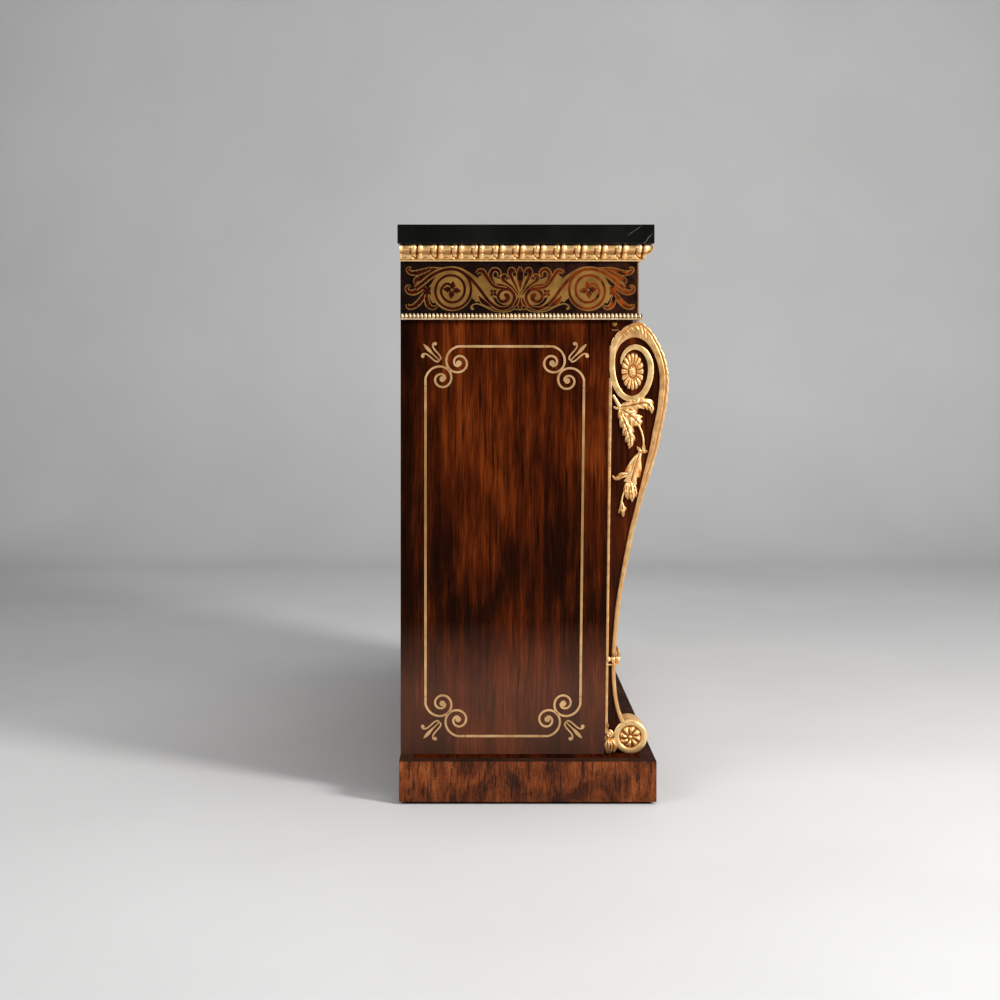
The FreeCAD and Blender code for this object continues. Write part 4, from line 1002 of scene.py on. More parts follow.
@dataclass
class FriezeInlay:
    """Brass and red-shell scrolls let into the frieze: one unit on each side and three along the front.

    A unit is drawn for one half, as distances from its axis and above the frieze's foot with a
    half width, and laid in order, each shape a hair above the one before.
    """

    palette: Palette
    axis: float = 191.0
    foot: float = 771.0
    step: float = 0.0045
    lift: float = 0.05
    depth: float = 0.2
    front_units: int = 3
    front_share: float = 0.88
    front_pitch: float = 336.0
    front_rise: float = 4.6
    edge_line: float = 0.9
    edge_foot: float = 0.5
    edge_head: float = 26.0
    most_stations: int = 158
    rim: float = 1.25
    curl_rim: float = 1.3
    roundel: Pair = (108.6, 37.6)
    roundel_radius: float = 33.6
    roundel_flower: float = 14.2
    roundel_lean: float = -0.13
    spiral_half: float = 2.0
    spiral_start: Pair = (0.22, 0.45)
    roundel_turns: tuple[float, ...] = (9.3, 13.3, 17.4, 19.8, 20.1, 23.4, 26.5, 29.8, 30.2, 33.1)
    band: Stroke = (
        (166.8, 40.2, 4.2), (156.2, 48.2, 4.6), (144.3, 58.1, 4.6), (131.1, 66.0, 4.4), (115.2, 70.6, 4.2),
        (99.4, 69.3, 4.8), (87.4, 62.7, 6.0), (76.9, 53.4, 8.0), (67.6, 42.9, 10.0), (59.7, 32.3, 11.0),
        (51.7, 21.7, 9.0), (41.1, 12.4, 5.0), (29.2, 7.8, 3.8), (17.3, 11.1, 3.7), (10.7, 19.1, 3.7),
        (9.4, 28.3, 3.7), (14.7, 36.2, 3.6), (23.9, 38.9, 3.6), (31.9, 34.9, 3.5), (35.2, 27.0, 3.4),
        (31.9, 20.4, 3.2), (25.3, 19.1, 3.0), (20.0, 23.0, 2.8), (20.6, 28.3, 2.6), (25.3, 31.0, 2.2))
    band_shell: tuple[float, ...] = (2.4,) * 21 + (2.6, 3.2, 4.0, 2.4)
    fields: tuple[Stroke, ...] = (
        ((82.0, 50.0, 3.0), (76.5, 40.0, 6.5), (72.0, 28.0, 6.0), (68.0, 19.0, 2.0)),
        ((150.0, 62.0, 2.0), (160.0, 52.5, 3.6), (168.0, 47.0, 1.0)),
        ((134.0, 50.0, 3.0), (141.0, 40.0, 5.0), (140.0, 26.0, 4.4), (137.0, 17.0, 2.0)),
        ((0.0, 30.0, 2.0), (5.5, 44.0, 3.6), (8.0, 54.0, 3.4), (9.0, 60.0, 1.0)),
        ((2.0, 30.0, 2.0), (11.0, 42.0, 3.4), (17.0, 50.0, 3.6), (19.5, 55.0, 1.0)),
        ((8.0, 33.0, 1.6), (18.0, 42.0, 3.0), (28.0, 48.0, 4.2), (36.0, 52.0, 4.0), (43.0, 57.0, 2.0)))
    eye: Triple = (23.6, 26.4, 12.6)
    eye_dot: float = 2.3
    leaves: tuple[Stroke, ...] = (
        ((112.0, 70.4, 0.6), (128.0, 69.4, 3.0), (144.3, 67.8, 5.2), (158.0, 65.5, 4.6), (169.0, 64.5, 3.2),
         (177.0, 66.5, 2.3), (179.5, 70.5, 1.7), (177.0, 72.6, 1.3), (174.6, 71.2, 1.0)),
        ((140.0, 66.0, 4.0), (150.0, 60.0, 5.0), (160.0, 56.0, 4.4), (167.0, 52.0, 2.6), (166.0, 47.0, 0.6)),
        ((152.0, 46.0, 3.2), (162.0, 37.5, 3.9), (172.0, 33.6, 3.4), (179.5, 36.0, 2.4), (181.0, 41.0, 1.8),
         (178.0, 43.8, 1.4), (175.6, 42.0, 1.0)),
        ((146.0, 38.0, 2.2), (154.0, 28.0, 3.0), (162.0, 17.5, 3.6), (171.0, 11.0, 3.2), (179.0, 11.0, 2.2),
         (180.0, 15.0, 1.4)),
        ((149.0, 32.0, 1.6), (149.0, 21.0, 3.2), (145.5, 12.5, 3.4), (138.0, 9.0, 2.2), (132.5, 12.0, 0.8)))
    curl: Stroke = ((41.0, 47.0, 3.0), (45.6, 55.0, 3.8), (46.6, 63.6, 4.2), (43.0, 69.4, 4.0),
                    (37.6, 69.8, 3.8), (33.4, 66.4, 3.4), (33.6, 61.6, 2.8), (36.6, 60.0, 1.8))
    inner_field: Stroke = ((64.0, 60.0, 4.0), (57.0, 50.0, 6.0), (48.0, 41.0, 8.0), (40.0, 32.0, 6.5),
                           (34.0, 26.0, 3.0))
    branch: Stroke = ((69.5, 64.0, 1.0), (66.0, 67.6, 2.4), (60.0, 67.4, 3.0), (55.0, 61.0, 2.6),
                      (50.0, 53.5, 2.2), (45.0, 46.6, 2.1), (38.0, 42.0, 2.1), (30.0, 40.6, 1.9),
                      (21.0, 40.0, 1.4))
    tendril: Stroke = ((44.0, 42.0, 1.6), (34.0, 45.6, 1.8), (24.0, 44.0, 1.6), (13.0, 38.5, 1.5),
                       (5.0, 31.0, 1.0))
    underline: Stroke = ((73.6, 8.4, 1.2), (75.6, 7.4, 1.9), (77.8, 9.4, 1.6), (76.0, 13.4, 1.2),
                         (70.0, 15.6, 1.0), (61.0, 13.2, 1.0), (51.0, 8.4, 1.0), (41.1, 4.2, 1.0),
                         (29.2, 2.4, 1.0), (16.0, 4.2, 1.0), (9.4, 7.5, 1.0))
    inner_leaf: Stroke = ((66.0, 28.0, 0.8), (60.0, 20.0, 3.4), (52.0, 14.0, 2.6), (45.0, 10.0, 0.6))
    flowers: tuple[Triple, ...] = ((148.5, 36.2, 8.8), (42.5, 33.0, 7.2))
    petals: tuple[Stroke, ...] = (
        ((2.4, 31.0, 1.0), (6.6, 43.0, 1.6), (13.0, 56.0, 2.2), (16.2, 64.0, 3.2), (14.2, 69.8, 3.4),
         (10.2, 68.4, 2.6), (10.0, 65.0, 1.0)),
        ((3.0, 30.0, 0.9), (11.0, 40.5, 1.5), (21.0, 49.0, 2.0), (27.0, 54.0, 2.8), (27.0, 59.2, 3.0),
         (23.4, 59.8, 2.2), (22.6, 57.0, 0.8)))
    side_dart: Stroke = ((2.6, 25.5, 0.8), (6.0, 17.0, 2.2), (12.0, 9.0, 0.4))
    centre_petal: Stroke = ((0.0, 29.0, 1.0), (0.0, 42.0, 2.2), (0.0, 57.0, 4.8), (0.0, 67.0, 4.2),
                            (0.0, 75.0, 0.6))
    collar: Stroke = ((-7.0, 27.5, 1.8), (0.0, 27.5, 1.8), (7.0, 27.5, 1.8))
    dart: Stroke = ((0.0, 25.5, 1.0), (0.0, 15.0, 3.4), (0.0, 4.5, 0.4))
    base_line: Stroke = ((-9.0, 6.6, 0.9), (0.0, 6.6, 0.9), (9.0, 6.6, 0.9))

    def rimmed(self, stroke: Stroke) -> Shape:
        """A shape's brass rim."""
        return Inlay.BRASS, [(u, w, half + self.rim) for u, w, half in stroke]

    def edged(self, *strokes: Stroke) -> list[Shape]:
        """Shell shapes, each over a brass rim."""
        return [shape for stroke in strokes for shape in (self.rimmed(stroke), (Inlay.SHELL, stroke))]

    def toothed(self, stroke: Stroke) -> Stroke:
        """A leaf with small teeth along it: its half width falls and springs back as a saw does."""
        fine = through(stroke, 12 * len(stroke))
        saw = np.mod(np.linspace(0, 1.1 * len(stroke), len(fine)), 1.0)
        fine[:, 2] *= 1.06 - 0.34 * saw
        return fine.tolist()

    def spiral(self) -> Stroke:
        """The roundel's spiral: its radius grows with the turn, a quarter turn from one value to the next."""
        quarters = np.concatenate([self.spiral_start, np.arange(1, len(self.roundel_turns) - 1)])
        turn = quarters * np.pi / 2
        fine = np.linspace(turn[0], turn[-1], 60)
        radius = np.interp(fine, turn, self.roundel_turns)
        u = self.roundel[0] + radius * np.sin(fine)
        w = self.roundel[1] + radius * np.cos(fine)
        return np.column_stack([u, w, np.full_like(u, self.spiral_half)]).tolist()

    def flower(self, centre: Pair, radius: float, turn: float) -> list[Shape]:
        """Four pointed petals of shell about a centre.

        Args:
            centre: the middle.
            radius: how far the petals reach.
            turn: how far the first petal stands from straight up.

        Returns:
            The petals.
        """
        shares = np.array([0.14, 0.34, 0.50, 0.66, 0.82, 1.0])
        halves = np.array([0.17, 0.26, 0.34, 0.24, 0.15, 0.03]) * radius
        shapes = []
        for quarter in range(4):
            angle = turn + quarter * np.pi / 2
            u = centre[0] + radius * shares * np.sin(angle)
            w = centre[1] + radius * shares * np.cos(angle)
            shapes.append((Inlay.SHELL, np.column_stack([u, w, halves]).tolist()))
        return shapes

    def half_unit(self) -> list[Shape]:
        """The shapes on one side of a unit's axis, in the order they are laid."""
        narrow = [(u, w, half) for (u, w, _), half in zip(self.band, self.band_shell)]
        curl = [(u, w, half - self.curl_rim) for u, w, half in self.curl]
        shapes: list[Shape] = [(Inlay.BRASS, area) for area in self.fields]
        for stroke in self.leaves:
            shapes += [self.rimmed(stroke), (Inlay.SHELL, self.toothed(stroke))]
        shapes += [(Inlay.BRASS, stroke) for stroke in (self.inner_field, self.underline, self.band)]
        shapes += self.edged(self.inner_leaf)
        shapes += [(Inlay.BRASS, self.curl), (Inlay.SHELL, curl)]
        shapes += self.edged(self.tendril, self.branch)
        shapes += [(Inlay.SHELL, narrow), (Inlay.SHELL, self.spiral())]
        shapes += self.flower(self.roundel, self.roundel_flower, self.roundel_lean)
        for u, w, radius in self.flowers:
            shapes += self.flower((u, w), radius, np.pi / 4)
        return shapes + self.edged(*self.petals, self.side_dart)

    def middle(self) -> list[Shape]:
        """The shapes that stand on a unit's axis."""
        lines: list[Shape] = [(Inlay.BRASS, self.collar), (Inlay.BRASS, self.base_line)]
        return self.edged(self.centre_petal, self.dart) + lines

    def unit(self, face: Face, axis: float, share: float, rise: float) -> dict[Inlay, list[Patch]]:
        """One unit laid on a face.

        Args:
            face: the face.
            axis: where its axis stands.
            share: its scale.
            rise: how far its foot stands above the face's corner.

        Returns:
            Its patches, by what they are cut from.
        """
        laid: dict[Inlay, list[Patch]] = {kind: [] for kind in Inlay}
        half = self.half_unit()
        for shapes, way in ((half, -1.0), (half, 1.0), (self.middle(), 1.0)):
            for place, (kind, stroke) in enumerate(shapes):
                scaled = [(axis + way * share * u, rise + share * w, share * width) for u, w, width in stroke]
                stations = min(6 * len(stroke) + 8, self.most_stations)
                laid[kind].append(strip(face, scaled, self.lift + self.step * place, self.depth, stations))
        plates = ((self.roundel, self.roundel_radius, 0.5), (self.eye[:2], self.eye[2], 0.7),
                  (self.roundel, self.eye_dot, len(half) + 2))
        for way in (-1.0, 1.0):
            for (u, w), radius, place in plates:
                centre = (axis + way * share * u, rise + share * w)
                lift = self.lift + self.step * place
                laid[Inlay.BRASS].append(disc(face, centre, share * radius, lift, self.depth))
        return laid

    def build(self) -> None:
        """Make the inlay of the three sides."""
        low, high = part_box("frieze_left")
        left = Face((low.x / MM, high.y / MM, self.foot), (0.0, -1.0, 0.0))
        front = Face((0.0, low.y / MM, self.foot), (1.0, 0.0, 0.0))
        depth = (high.y - low.y) / MM
        half_width = -low.x / MM
        height = high.z / MM - self.foot
        side = self.unit(left, self.axis, 1.0, 0.0)
        for face, edge in ((left, depth - self.edge_line), (front, self.edge_line - half_width)):
            line = ((edge, self.edge_foot, self.edge_line), (edge, height - self.edge_head, self.edge_line))
            side[Inlay.BRASS].append(strip(face, line, self.lift, self.depth, 4))
        patches = {kind: [both_sides(merged(side[kind]))] for kind in Inlay}
        for number in range(self.front_units):
            axis = (number - (self.front_units - 1) / 2) * self.front_pitch
            unit = self.unit(front, axis, self.front_share, self.front_rise)
            for kind in Inlay:
                patches[kind] += unit[kind]
        make_piece("frieze_brass", merged(patches[Inlay.BRASS]), self.palette.brass)
        make_piece("frieze_shell", merged(patches[Inlay.SHELL]), self.palette.shell)


@dataclass
class Moulding:
    """A carved gilt moulding round the frieze's left side, front and right side, mitred at the corners.

    The surface is a profile carried along each side; carving lifts it along the profile's normal.
    """

    name: str
    nodes: tuple[str, ...]
    foot: float
    pitch: float
    columns: int
    profile: Callable[[Array], tuple[Array, Array]]
    carving: Callable[[Array, Array], tuple[Array, Array]]
    rows: int
    material: Material
    phase: float = 0.0
    tuck: float = 1.5
    over: float = 1.5

    def run(self, start: float, end: float, place: Place) -> Patch:
        """One side's moulding, carried at an even pitch.

        Args:
            start: where it starts along its side.
            end: where its furthest point ends.
            place: turns places along the side, distances out and heights into points.

        Returns:
            A closed shell.
        """
        step = self.pitch / self.columns
        along = step * np.arange(math.floor(start / step), math.ceil(end / step) + 1)[:, None]
        t = np.linspace(0, 1, self.rows)
        out, up = self.profile(t)
        slope_out, slope_up = np.gradient(out), np.gradient(up)
        size = np.hypot(slope_out, slope_up)
        lift, hollow = self.carving(2 * np.mod((along + self.phase) / self.pitch, 1.0) - 1, t)
        out_carved = out + lift * slope_up / size
        up_carved = self.foot + up - lift * slope_out / size
        backs = np.ones_like(along)
        section_out = np.concatenate([-self.tuck * backs, out_carved, -self.tuck * backs], axis=1)
        section_up = np.concatenate([(self.foot + up[0]) * backs, up_carved,
                                     (self.foot + up[-1]) * backs], axis=1)
        return capped(place(along, section_out, section_up), np.pad(hollow, ((0, 0), (1, 1))))

    def build(self) -> None:
        """Make the moulding of the three sides."""
        low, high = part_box("frieze_left")
        half_width, depth = -low.x / MM, (high.y - low.y) / MM
        back, front = high.y / MM, low.y / MM
        reach = self.over + np.max(self.profile(np.linspace(0, 1, self.rows))[0])

        def on_side(along: Array, out: Array, up: Array) -> Array:
            """Points on the left side, from the back to the mitre."""
            y = back - np.clip(along, 0.0, depth + out)
            return np.stack([-half_width - out, y, up], axis=-1) * MM

        def on_front(along: Array, out: Array, up: Array) -> Array:
            """Points on the front, from mitre to mitre."""
            x = np.clip(along, -half_width - out, half_width + out)
            return np.stack([x, front - out, up], axis=-1) * MM

        wide = half_width + reach
        patches = [both_sides(self.run(0.0, depth + reach, on_side)), self.run(-wide, wide, on_front)]
        make_piece(self.name, merged(patches), self.material, replaces=self.nodes)


def cornice_profile(t: Array) -> tuple[Array, Array]:
    """The cornice's section: a fillet, a swelling and a round moulding, at even steps of its length."""
    angle = np.linspace(-np.pi / 2, np.pi / 2, 15)
    swell = np.linspace(0, np.pi / 2, 9)
    out = np.concatenate([[0.0, 4.4, 4.9], 5.1 + 4.6 * np.sin(swell), 13.7 + 6.3 * np.cos(angle)])
    up = np.concatenate([[0.2, 0.2, 3.2], 3.5 + 8.9 * (1 - np.cos(swell)), 20.0 + 6.3 * np.sin(angle)])
    reach = np.concatenate([[0.0], np.cumsum(np.hypot(np.diff(out), np.diff(up)))])
    return np.interp(t * reach[-1], reach, out), np.interp(t * reach[-1], reach, up)


def cornice_carving(x: Array, t: Array) -> tuple[Array, Array]:
    """A tall leaf's relief: two lobes beside a hollow, a vein that sweeps out and down, and deep gaps.

    Args:
        x: place across the leaf, from -1 to 1.
        t: share up the section.

    Returns:
        The height off the section and how deep in a hollow it lies.
    """
    body = slope(t, 0.17, 0.21) * slope(t, 0.985, 0.945)
    upper = slope(t, 0.48, 0.54)
    leaning = np.mod(x + 1.0 + 0.16 * (0.62 - t), 2.0) - 1.0
    gap = bell(np.abs(leaning), 1.0, 0.085)
    first = bell(x, -0.74, 0.22)
    second = bell(x, 0.68, 0.26)
    sweep = 0.34 + 0.62 * slope(t, 0.42, 0.18) ** 1.5
    vein = bell(x, sweep, 0.07) * slope(t, 0.80, 0.74)
    cup = np.exp(-((x + 0.16) / 0.36) ** 4) * upper * slope(t, 0.86, 0.78)
    waist = bell(t, 0.475, 0.045) * slope(x, 0.45, 0.35)
    dashes = (bell(x, -0.20, 0.17) * bell(t, 0.285 + 0.03 * x, 0.026)
              + bell(x, 0.72, 0.13) * bell(t, 0.275, 0.026))
    folds = bell(x, 0.5 * (0.42 - t) - 0.52, 0.06) * (1 - upper)
    lobes = (1.7 * first + 2.0 * second) * (0.45 + 0.55 * upper) + 0.7 * (1 - upper)
    lift = lobes - 2.6 * gap - 1.7 * vein - cup - 0.9 * waist - 1.8 * dashes - 0.8 * folds
    hollow = gap + 0.9 * vein + 0.12 * cup + 0.20 * waist + 0.95 * dashes + 0.34 * folds
    return body * lift, np.clip(body * hollow, 0, 1)


def bead_profile(t: Array) -> tuple[Array, Array]:
    """The bead strip's section: a fillet at the foot and a slope back to the frieze."""
    places = np.array([0.0, 0.14, 0.26, 0.34, 0.90, 1.0])
    out = np.array([0.0, 5.6, 5.6, 2.6, 1.6, 0.2])
    up = np.array([0.2, 0.2, 1.8, 2.4, 9.0, 9.6])
    return np.interp(t, places, out), np.interp(t, places, up)


def bead_carving(x: Array, t: Array) -> tuple[Array, Array]:
    """A small pointed bud: a dome that narrows towards its tip, with a dark gap on either side.

    Args:
        x: place across the bud, from -1 to 1.
        t: share up the section.

    Returns:
        The height off the section and how deep in a hollow it lies.
    """
    width = 0.96 - 0.50 * slope(t, 0.58, 1.0) ** 1.5
    bud = dome(x / width) * dome((t - 0.62) / 0.36)
    return 3.6 * bud, slope(t, 0.28, 0.34) * np.clip(1.35 - 2.0 * bud, 0, 1)


@dataclass
class Console:
    """The scrolled console at each front corner: carved edging, volute, rosette, leaves, collar and foot.

    Places are distances forward of the cabinet's back and heights above the floor. The leg's third
    number is the width of the gilt band inside it, and the crown gives both edges of that band.
    """

    palette: Palette
    outer: float = 498.2
    inner: float = 443.8
    core_recess: float = 3.2
    leg: Stroke = (
        (358.0, 119.0, 6.6), (355.0, 125.0, 6.0), (350.6, 137.0, 5.6), (345.7, 161.0, 5.5),
        (343.7, 185.0, 5.4), (343.1, 209.0, 5.4), (344.7, 241.0, 6.0), (346.9, 265.0, 6.2),
        (349.0, 289.0, 6.4), (352.0, 313.0, 6.4), (356.0, 337.0, 6.6), (361.0, 364.0, 6.8),
        (367.0, 393.0, 7.3), (372.0, 417.0, 7.6), (378.0, 441.0, 7.6), (385.0, 468.0, 7.8),
        (392.0, 492.0, 8.8), (398.5, 513.0, 10.2), (404.5, 532.0, 11.4), (410.5, 553.0, 12.4),
        (415.5, 577.0, 13.1), (420.0, 598.0, 13.2), (424.0, 617.0, 13.4))
    crown: tuple[tuple[float, float, float, float], ...] = (
        (427.0, 641.0, 412.8, 640.5), (428.3, 657.0, 414.4, 656.0), (428.0, 673.0, 414.4, 670.5),
        (424.5, 694.0, 411.8, 688.0), (418.0, 713.0, 406.6, 704.4), (410.0, 729.0, 399.4, 717.8),
        (398.0, 746.5, 389.0, 728.4), (381.0, 758.5, 376.0, 733.2), (360.0, 750.0, 362.5, 730.2),
        (344.0, 736.5, 351.6, 721.4), (334.8, 718.0, 345.2, 709.0), (333.6, 704.0, 343.4, 699.0))
    carved_from: Pair = (486.0, 506.0)
    crown_band: Pair = (17.0, 20.0)
    groove: Pair = (4.4, 0.7)
    cut_zone: Pair = (9.5, 3.8)
    cut_pitch: Pair = (9.5, 10.0)
    scale_pitch: float = 15.0
    scale_sweep: float = 0.30
    scale_edge: float = 3.2
    flute_rise: float = 0.9
    back_strip: Stroke = ((331.2, 100.0, 5.4), (334.9, 412.0, 5.2), (338.4, 668.0, 6.2))
    volute: Stroke = (
        (352.0, 738.0, 4.0), (342.5, 722.0, 4.6), (338.6, 700.0, 4.8), (338.7, 679.0, 4.8),
        (344.5, 655.5, 4.8), (355.5, 640.0, 4.8), (370.2, 634.6, 4.8), (385.0, 640.5, 4.8),
        (396.0, 657.5, 4.8), (400.3, 679.4, 4.7), (397.4, 699.0, 4.6), (388.0, 713.0, 4.4),
        (373.4, 717.8, 4.1), (363.0, 713.0, 3.6), (357.0, 705.0, 3.0), (353.8, 697.5, 2.2),
        (352.6, 690.6, 1.2))
    volute_rise: float = 3.4
    rosette: Pair = (371.0, 678.6)
    rosette_half: Pair = (18.0, 30.0)
    rosette_petals: int = 16
    rosette_rise: float = 6.0
    leaf_strokes: tuple[tuple[Stroke, float, float], ...] = (
        (((349.0, 622.1, 5.0), (360.0, 623.0, 9.0), (375.0, 626.0, 11.5), (391.0, 628.0, 10.5),
          (400.5, 621.5, 6.0), (402.0, 611.5, 1.4)), 6.4, 5.0),
        (((350.0, 621.0, 4.4), (361.0, 613.0, 11.0), (372.0, 604.0, 13.0), (379.0, 597.5, 9.0),
          (383.0, 590.5, 1.4)), 5.8, 4.0),
        (((350.0, 621.0, 3.4), (354.5, 605.0, 8.4), (361.5, 589.0, 10.4), (366.5, 573.0, 8.8),
          (367.5, 562.0, 5.0), (365.2, 554.8, 0.8)), 6.0, 5.0),
        (((384.2, 550.0, 5.0), (379.6, 541.0, 10.0), (375.4, 528.0, 12.6), (371.2, 514.0, 13.6),
          (367.2, 500.0, 13.0)), 6.6, 1.4),
        (((366.0, 514.3, 6.0), (354.0, 512.0, 5.2), (344.5, 506.8, 3.4), (338.6, 512.5, 0.8)), 5.0, 1.5),
        (((366.2, 503.0, 6.0), (369.5, 486.0, 6.8), (370.6, 470.0, 1.2)), 5.6, 2.0),
        (((362.0, 501.0, 4.4), (361.5, 486.0, 5.2), (363.9, 473.4, 0.9)), 4.8, 2.0),
        (((371.5, 500.0, 3.4), (375.0, 488.0, 4.4), (376.6, 477.8, 0.8)), 4.6, 2.0),
        (((386.4, 548.0, 2.4), (381.6, 553.6, 3.2), (377.6, 558.8, 0.8)), 4.2, 1.0),
        (((386.4, 548.0, 2.4), (388.6, 555.0, 3.2), (389.9, 561.2, 0.8)), 4.6, 1.0),
        (((386.4, 548.0, 2.4), (391.0, 550.4, 3.0), (395.0, 551.6, 0.8)), 4.0, 1.0),
        (((353.4, 472.0, 2.4), (354.9, 459.0, 5.6), (356.2, 446.6, 1.4)), 5.0, 1.5),
        (((353.8, 463.0, 2.0), (350.8, 456.5, 2.4), (348.8, 450.4, 0.6)), 3.8, 1.0),
        (((355.0, 463.0, 2.0), (358.6, 459.6, 2.4), (361.6, 457.8, 0.6)), 3.6, 1.0))
    stems: tuple[Stroke, ...] = (
        ((340.0, 641.0, 2.0), (345.0, 632.0, 2.8), (350.4, 622.1, 3.4)),
        ((341.0, 622.2, 1.6), (345.5, 619.6, 2.2), (350.4, 622.0, 2.8)),
        ((380.4, 594.0, 1.4), (386.2, 580.0, 1.5), (388.6, 561.4, 1.6), (387.2, 551.0, 1.8)),
        ((361.5, 494.0, 1.4), (355.4, 480.0, 1.3), (353.2, 469.0, 1.4)))
    collar_balls: tuple[Triple, ...] = (
        (332.6, 218.4, 3.9), (339.8, 218.8, 4.3), (347.2, 219.2, 4.6))
    collar_leaves: tuple[Stroke, ...] = (
        ((346.5, 216.0, 2.0), (348.6, 226.0, 3.2), (348.0, 235.0, 0.7)),
        ((340.4, 216.0, 2.0), (340.4, 224.0, 2.8), (341.6, 232.0, 0.7)),
        ((340.0, 222.0, 2.0), (339.6, 214.0, 2.6), (339.8, 207.6, 0.7)))
    collar_leaf_rise: float = 4.6
    collar_front: float = 344.2
    collar_front_count: int = 5
    collar_front_inset: float = 5.5
    collar_front_ball: Triple = (5.4, 6.0, 5.4)
    collar_height: float = 219.0
    collar_ledge: tuple[float, float, float, float] = (328.6, 350.0, 209.0, 211.2)
    collar_over: float = 2.2
    roll: Pair = (367.4, 93.8)
    roll_radius: float = 26.3
    roll_petals: int = 8
    roll_inset: float = 0.6
    foot_scroll: Pair = (334.0, 98.8)
    foot_scroll_radius: float = 5.4
    foot_scroll_roll: float = 6.6
    foot_scroll_out: float = 3.2
    foot_ball: Triple = (2.2, 2.2, 2.6)
    foot_ball_out: float = 3.0
    foot_core: tuple[float, float, float, float] = (326.4, 338.6, 67.5, 100.0)
    foot_lobes: tuple[Stroke, ...] = (
        ((331.6, 108.0, 1.0), (331.0, 113.0, 2.2), (330.4, 117.6, 0.5)),
        ((332.4, 92.0, 3.6), (330.2, 82.0, 7.0), (330.0, 69.0, 2.4)),
        ((337.0, 92.0, 3.6), (339.6, 82.0, 7.0), (341.4, 70.0, 2.4)),
        ((334.6, 90.0, 3.4), (335.0, 80.0, 6.4), (335.4, 68.6, 2.2)))
    lobe_rise: float = 7.4
    lobe_sunk: float = 2.5
    bracket_end: float = 0.86
    bracket_insets: Pair = (3.4, 2.6)
    knob: Triple = (342.0, 755.0, 4.8)
    knob_out: float = 0.6
    knob_rise: float = 3.2
    knob_fillet: Stroke = ((-4.5, -10.4, 1.6), (0.0, -10.2, 1.6), (6.5, -9.8, 1.2))
    spandrel_inset: float = 4.0
    spandrel: tuple[Pair, ...] = (
        (333.4, 718.0), (333.4, 761.2), (372.0, 761.2), (372.0, 754.0), (360.0, 748.0), (340.0, 720.0))

    def __post_init__(self) -> None:
        """Read the plane that depths are counted from."""
        self.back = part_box("plinth_back")[1].y / MM

    def points(self, x: Array, forward: Array, up: Array) -> Array:
        """Points in metres from a distance to the left, one forward of the back and a height."""
        spread = np.broadcast_arrays(-x, self.back - forward, up)
        return np.stack(spread, axis=-1) * MM

    def on_outer(self, forward: Array, up: Array, out: Array) -> Array:
        """Points off the core's outer face."""
        return self.points(self.outer - self.core_recess + out, forward, up)

    def on_inner(self, forward: Array, up: Array, out: Array) -> Array:
        """Points off the core's inner face."""
        return self.points(self.inner + self.core_recess - out, forward, up)

    def edging(self, edges: Array, is_carved: bool, count: int) -> Patch:
        """A gilt band between two edges: a section with two side faces and a front, carried along them.

        The side faces have eased edges; where it is carved, a groove parts off the outer strip,
        slanting cuts dress the crown and overlapping leaves run down the front.

        Args:
            edges: places on the outer edge and beside them on the inner one.
            is_carved: whether it has the carving.
            count: stations along it.

        Returns:
            A closed shell.
        """
        curve = through(edges, count)
        step = np.linalg.norm(np.diff(curve[:, :2], axis=0), axis=1)
        run = np.concatenate([[0.0], np.cumsum(step)])[:, None]
        inward = curve[:, 2:] - curve[:, :2]
        band = np.linalg.norm(inward, axis=1, keepdims=True)
        inward = (inward / band)[:, None, :]
        carved = slope(curve[:, 1:2], *self.carved_from) * float(is_carved)
        crown = slope(band, *self.crown_band) * float(is_carved)
        off = band * np.linspace(1, 0, 22)
        eased = 1.3 * slope(band - off, 1.6, 0.0) ** 2 + 1.1 * slope(off, 1.4, 0.0) ** 2
        groove = carved * bell(off, *self.groove)
        slant = 0.5 + 0.5 * np.cos(2 * np.pi * (run / self.cut_pitch[0] + off / self.cut_pitch[1]))
        cuts = crown * slant ** 6 * bell(off, *self.cut_zone)
        low = eased + groove + 1.3 * cuts
        across = np.linspace(-1, 1, 23)[1:-1]
        saw = np.mod(run / self.scale_pitch + self.scale_sweep * np.abs(across), 1.0)
        midrib = bell(across, 0.0, 0.06)
        scales = carved * (2.8 * dome(saw) - 1.9 - 0.7 * midrib)
        flutes = (1 - carved) * float(is_carved) * self.flute_rise * np.cos(5 * np.pi * across)
        half = (self.outer - self.inner) / 2
        middle = (self.outer + self.inner) / 2
        x = np.concatenate([self.outer - low, np.broadcast_to(middle - across * half * 0.985, scales.shape),
                            self.inner + low[:, ::-1]], axis=1)
        edge = carved * dome(np.mod(run / self.scale_pitch + self.scale_sweep, 1.0))
        side_off = off - slope(off, self.scale_edge, 0.0) * (2.4 * edge - 1.4 * carved)
        inset = np.concatenate([side_off, -scales - flutes, side_off[:, ::-1]], axis=1)
        flat = curve[:, None, :2] + inward * inset[..., None]
        dark_side = 0.7 * groove + 0.9 * cuts
        dark_front = carved * np.clip(saw ** 8 + 0.5 * midrib, 0, 1) + np.clip(-flutes, 0, 1) ** 2
        hollow = np.concatenate([dark_side, dark_front, dark_side[:, ::-1]], axis=1)
        return capped(self.points(x, flat[..., 0], flat[..., 1]), hollow)

